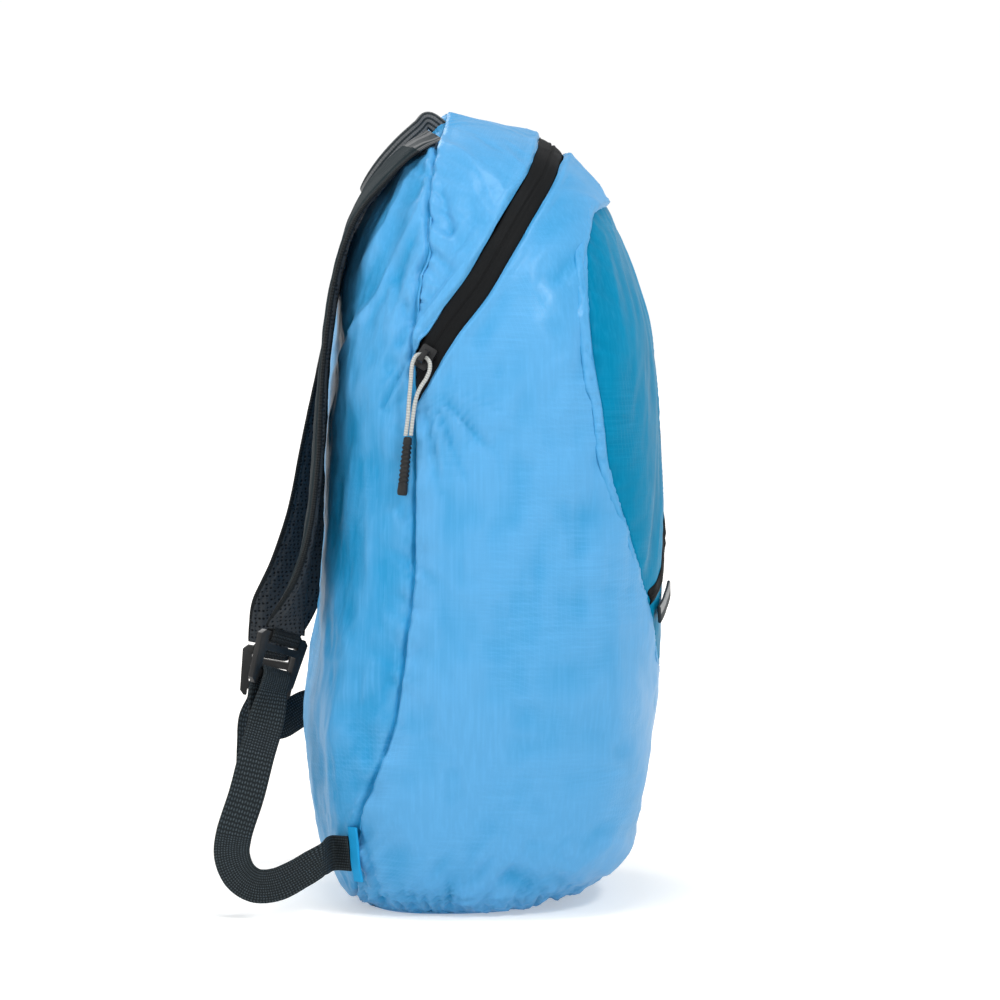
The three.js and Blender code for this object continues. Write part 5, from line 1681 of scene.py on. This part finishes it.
def cloth_material(name, colour, deep, gloss):
    """Thin coated ripstop: painted shade as a deeper blue in folds, faint reinforcing
    threads both ways that glint lighter in patches, lighter lines of painted sheen, a fine weave and a soft
    gloss."""
    n = Nodes(name)
    across, along = n.cloth_map()
    painted_shade = n.add("ShaderNodeAttribute", attribute_name="painted_shade").outputs["Fac"]
    patches = n.span(n.noise(8.0, 6.0), 0.3, 0.7, -0.24, 0.24)
    factor = n.math("ADD", painted_shade, patches, clamp=True)
    base = n.mix(factor, tuple(colour), tuple(deep))
    # Painted highlights: where shining is high, the reinforcing threads are drawn lighter as glints, with
    # flat lines of sheen. Elsewhere the sheen runs in tall lines.
    shining = n.span(n.noise(14.0, 4.0), 0.48, 0.62, 0.0, 1.0)
    rows = n.lines(across, RIPSTOP_PITCH, RIPSTOP_WIDTH)
    columns = n.lines(along, RIPSTOP_PITCH, RIPSTOP_WIDTH)
    threads = n.math("MULTIPLY", n.math("MAXIMUM", rows, columns), shining)
    flat_sheen_streaks = n.noise(1.0, 3.0, n.scaled_place(34.0, 34.0, 640.0))
    tall_sheen_streaks = n.noise(1.0, 3.0, n.scaled_place(560.0, 560.0, 22.0))
    tall_share = n.math("MULTIPLY", tall_sheen_streaks, n.math("SUBTRACT", 1.0, shining))
    sheen_streaks = n.math("ADD", n.math("MULTIPLY", flat_sheen_streaks, shining), tall_share)
    # light is the painted highlight colour that the sheen lines and the glinting threads mix towards.
    light = paler(colour, 1.35, 0.02)
    sheen_streaked = n.mix(n.span(sheen_streaks, 0.44, 0.7, 0.0, 0.16), base, light)
    shade = n.mix(n.math("MULTIPLY", threads, 0.1), sheen_streaked, light)
    weave = n.math("MULTIPLY", n.noise(900.0, 2.0), 0.4)
    height = n.math("ADD", n.math("MULTIPLY", threads, 0.7), weave)
    crumple = n.bump(n.noise(42.0, 6.0), 0.0024, 0.4)
    grain = n.bump(height, 0.00012, 0.6, crumple)
    rough = n.span(n.noise(22.0, 3.0), 0.3, 0.7, 0.32, 0.46)
    return n.finish(shade, rough, grain, specular=gloss)


def tape_material(name, colour, roughness=0.62):
    """Woven tape: a fine cross weave that shows in the gloss and as tiny dips."""
    n = Nodes(name)
    across, along = n.cloth_map()
    weave = n.math("MULTIPLY", n.wave(across, 0.0011), n.wave(along, 0.0011))
    height = n.span(weave, -1.0, 1.0)
    spots = n.noise(60.0, 4.0)
    lighter = paler(colour, 1.5, 0.004)
    base = n.mix(n.math("MULTIPLY", n.math("ADD", height, spots), 0.4), tuple(colour), lighter)
    rough = n.span(spots, 0.3, 0.7, roughness - 0.05, roughness + 0.08)
    return n.finish(base, rough, n.bump(height, 0.0001, 0.6), specular=0.1)


def webbing_material(name, colour, pitch):
    """Herringbone webbing: slanted ribs that change direction at each rib along the band."""
    n = Nodes(name)
    across, along = n.cloth_map()
    fold = n.math("ABSOLUTE", n.math("SUBTRACT", n.math("FRACT", n.math("DIVIDE", across, 2 * pitch)), 0.5))
    slanted = n.math("ADD", n.math("DIVIDE", along, pitch), n.math("MULTIPLY", fold, 0.5))
    ribs = n.span(n.wave(slanted), -1.0, 1.0)
    cords = n.span(n.wave(across, pitch), -1.0, 1.0)
    height = n.math("MULTIPLY", ribs, cords)
    fuzz = n.noise(700.0, 2.0)
    lighter = paler(colour, 2.6, 0.01)
    darker = tuple(0.45 * c for c in colour)
    base = n.mix(n.math("MULTIPLY", height, n.span(fuzz, 0.3, 0.7, 0.6, 1.1), clamp=True), darker, lighter)
    return n.finish(base, 0.78, n.bump(height, 0.0003, 0.8), specular=0.12)


def stripe_material(name, dark, light, stripes, share):
    """Webbing with light stripes along it on both faces, and a cross
    rib. Its map runs once round the band."""
    n = Nodes(name)
    across, along = n.cloth_map()
    girth = n.math("FRACT", n.math("MULTIPLY", across, 2 * stripes / 0.024))
    away = n.math("ABSOLUTE", n.math("SUBTRACT", girth, 0.5))
    stripe = n.span(away, share / 2 - 0.03, share / 2 + 0.03, 1.0, 0.0)
    ribs = n.span(n.wave(along, 0.0013), -1.0, 1.0)
    base = n.mix(stripe, tuple(dark), tuple(light))
    shade = n.mix(n.math("MULTIPLY", ribs, 0.25), base, tuple(dark))
    height = n.math("ADD", ribs, n.math("MULTIPLY", stripe, 0.6))
    return n.finish(shade, 0.6, n.bump(height, 0.00025, 0.7), specular=0.2)


def strap_material(name, colour):
    """Close-woven charcoal cloth with slight wear."""
    n = Nodes(name)
    across, along = n.cloth_map()
    weave = n.math("MULTIPLY", n.wave(across, 0.0012), n.wave(along, 0.0012))
    height = n.span(weave, -1.0, 1.0)
    wear = n.noise(35.0, 5.0)
    lighter = paler(colour, 1.8, 0.003)
    base = n.mix(n.math("MULTIPLY", n.math("ADD", height, wear), 0.45), tuple(colour), lighter)
    return n.finish(base, 0.75, n.bump(height, 0.0002, 0.7), specular=0.08)


def spacer_material(name, colour):
    """Black spacer mesh: rows of round holes set half a step apart, with a paler rim."""
    n = Nodes(name)
    holes = n.add("ShaderNodeTexVoronoi", feature="F1")
    holes.inputs["Scale"].default_value = 420.0
    holes.inputs["Randomness"].default_value = 0.15
    n.link(n.object_place(), holes.inputs["Vector"])
    hole = n.span(holes.outputs["Distance"], 0.2, 0.42)
    lighter = paler(colour, 5, 0.02)
    base = n.mix(n.math("MULTIPLY", hole, 0.8), tuple(colour), lighter)
    return n.finish(base, 0.85, n.bump(hole, 0.0006, 0.8), specular=0.06)


def braid_material(name, colour):
    """A light braided cord: strands that cross both ways round it."""
    n = Nodes(name)
    across, along = n.cloth_map()
    spiral = n.math("ADD", n.math("DIVIDE", across, 0.0017), n.math("DIVIDE", along, 0.0026))
    other = n.math("SUBTRACT", n.math("DIVIDE", across, 0.0017), n.math("DIVIDE", along, 0.0026))
    height = n.math("MULTIPLY", n.wave(spiral), n.wave(other))
    level = n.span(height, -1.0, 1.0)
    darker = tuple(0.5 * c for c in colour)
    base = n.mix(level, darker, tuple(colour))
    return n.finish(base, 0.7, n.bump(level, 0.00015, 0.8), sheen=0.1, specular=0.35)


def plastic_material(name, colour, roughness):
    """Moulded acetal: fine spark-eroded grain with slight sheen variation."""
    n = Nodes(name)
    grain = n.noise(1400.0, 2.0)
    patches = n.noise(45.0, 3.0)
    lighter = paler(colour, 1.9, 0.01)
    base = n.mix(n.span(patches, 0.35, 0.7), tuple(colour), lighter)
    rough = n.span(patches, 0.3, 0.7, roughness - 0.05, roughness + 0.1)
    return n.finish(base, rough, n.bump(grain, 0.00008, 0.5), specular=0.25)


class DAYPACK_OT_stage(bpy.types.Operator):
    """Lays a plain pale floor that glows less near the pack as painted shade, and sets a bright studio with
    soft lights
    """

    bl_idname = "daypack.stage"
    bl_label = "Floor and lights"

    def execute(self, context):
        side = 14.0
        corners = np.array([(-1, -1), (1, -1), (1, 1), (-1, 1)]) * side
        points = np.hstack([corners, np.full((4, 1), -0.0002)])
        floor = new_mesh("floor", points, [(0, 1, 2, 3)], corners)
        n = Nodes("floor")
        # The floor glows, 0.36 near the pack rising to 0.8 between 0.4 m and 2.4 m off: painted shade round
        # the pack, and a glow that keeps the far floor white.
        n.shader.inputs["Emission Color"].default_value = (1.0, 1.0, 1.0, 1)
        away = n.add("ShaderNodeVectorMath", operation="LENGTH")
        n.link(n.object_place(), away.inputs[0])
        n.link(n.span(away.outputs["Value"], 0.4, 2.4, 0.36, 0.8), n.shader.inputs["Emission Strength"])
        floor.data.materials.append(n.finish((*tuple(colours().floor), 1), 0.9, specular=0.0))
        world = bpy.data.worlds.new("studio")
        world.use_nodes = True
        sky = world.node_tree
        aim = sky.nodes.new("ShaderNodeTexCoord")
        split = sky.nodes.new("ShaderNodeSeparateXYZ")
        fade = sky.nodes.new("ShaderNodeMapRange")
        for key, value in (("From Min", 0.12), ("From Max", 0.75), ("To Min", 1.02), ("To Max", 0.42)):
            fade.inputs[key].default_value = value
        sky.links.new(aim.outputs["Generated"], split.inputs[0])
        sky.links.new(split.outputs[2], fade.inputs["Value"])
        sky.links.new(fade.outputs[0], sky.nodes["Background"].inputs["Strength"])
        sky.nodes["Background"].inputs["Color"].default_value = (1.0, 1.0, 1.0, 1)
        context.scene.world = world
        for name, place, aim, size, watts in (
            ("key", (-1.7, -1.2, 1.9), (0, 0, 0.2), 0.45, 27.0),
            ("over", (-0.5, 0.1, 2.3), (0, 0, 0.1), 0.8, 20.0),
            ("far", (1.6, 0.9, 1.6), (0, 0, 0.2), 1.0, 12.0),
            ("behind", (-1.3, 1.7, 1.0), (0, 0, 0.25), 1.2, 12.0),
        ):
            light = bpy.data.lights.new(name, "AREA")
            light.shape = "DISK"
            light.size = size
            light.energy = watts
            lamp = bpy.data.objects.new(name, light)
            lamp.location = place
            lamp.rotation_euler = (Vector(aim) - Vector(place)).to_track_quat("-Z", "Y").to_euler()
            context.scene.collection.objects.link(lamp)
        context.scene.view_settings.view_transform = "Standard"
        return {"FINISHED"}


class DAYPACK_PT_sidebar(bpy.types.Panel):
    """Lists the daypack's pieces in the order they are made"""

    bl_label = "Daypack"
    bl_idname = "DAYPACK_PT_sidebar"
    bl_space_type = "VIEW_3D"
    bl_region_type = "UI"
    bl_category = "Daypack"

    def draw(self, context):
        column = self.layout.column()
        for group in (context.scene.daypack_sizes, context.scene.daypack_colours):
            for key in group.__annotations__:
                column.prop(group, key)
        for operator in OPERATORS:
            column.operator(operator.bl_idname)


OPERATORS = (
    DAYPACK_OT_camera,
    DAYPACK_OT_pull,
    DAYPACK_OT_body,
    DAYPACK_OT_main_zip,
    DAYPACK_OT_pocket,
    DAYPACK_OT_front_zip,
    DAYPACK_OT_straps,
    DAYPACK_OT_webbing,
    DAYPACK_OT_plastics,
    DAYPACK_OT_stage,
)
CLASSES = (DaypackSizes, DaypackColours, *OPERATORS, DAYPACK_PT_sidebar)


def register():
    for each in CLASSES:
        bpy.utils.register_class(each)
    bpy.types.Scene.daypack_sizes = bpy.props.PointerProperty(type=DaypackSizes)
    bpy.types.Scene.daypack_colours = bpy.props.PointerProperty(type=DaypackColours)


def unregister():
    del bpy.types.Scene.daypack_colours
    del bpy.types.Scene.daypack_sizes
    for each in reversed(CLASSES):
        bpy.utils.unregister_class(each)


def main():
    register()
    for operator in OPERATORS:
        family, name = operator.bl_idname.split(".")
        getattr(getattr(bpy.ops, family), name)()
    bpy.context.view_layer.update()


if __name__ == "__main__":
    main()
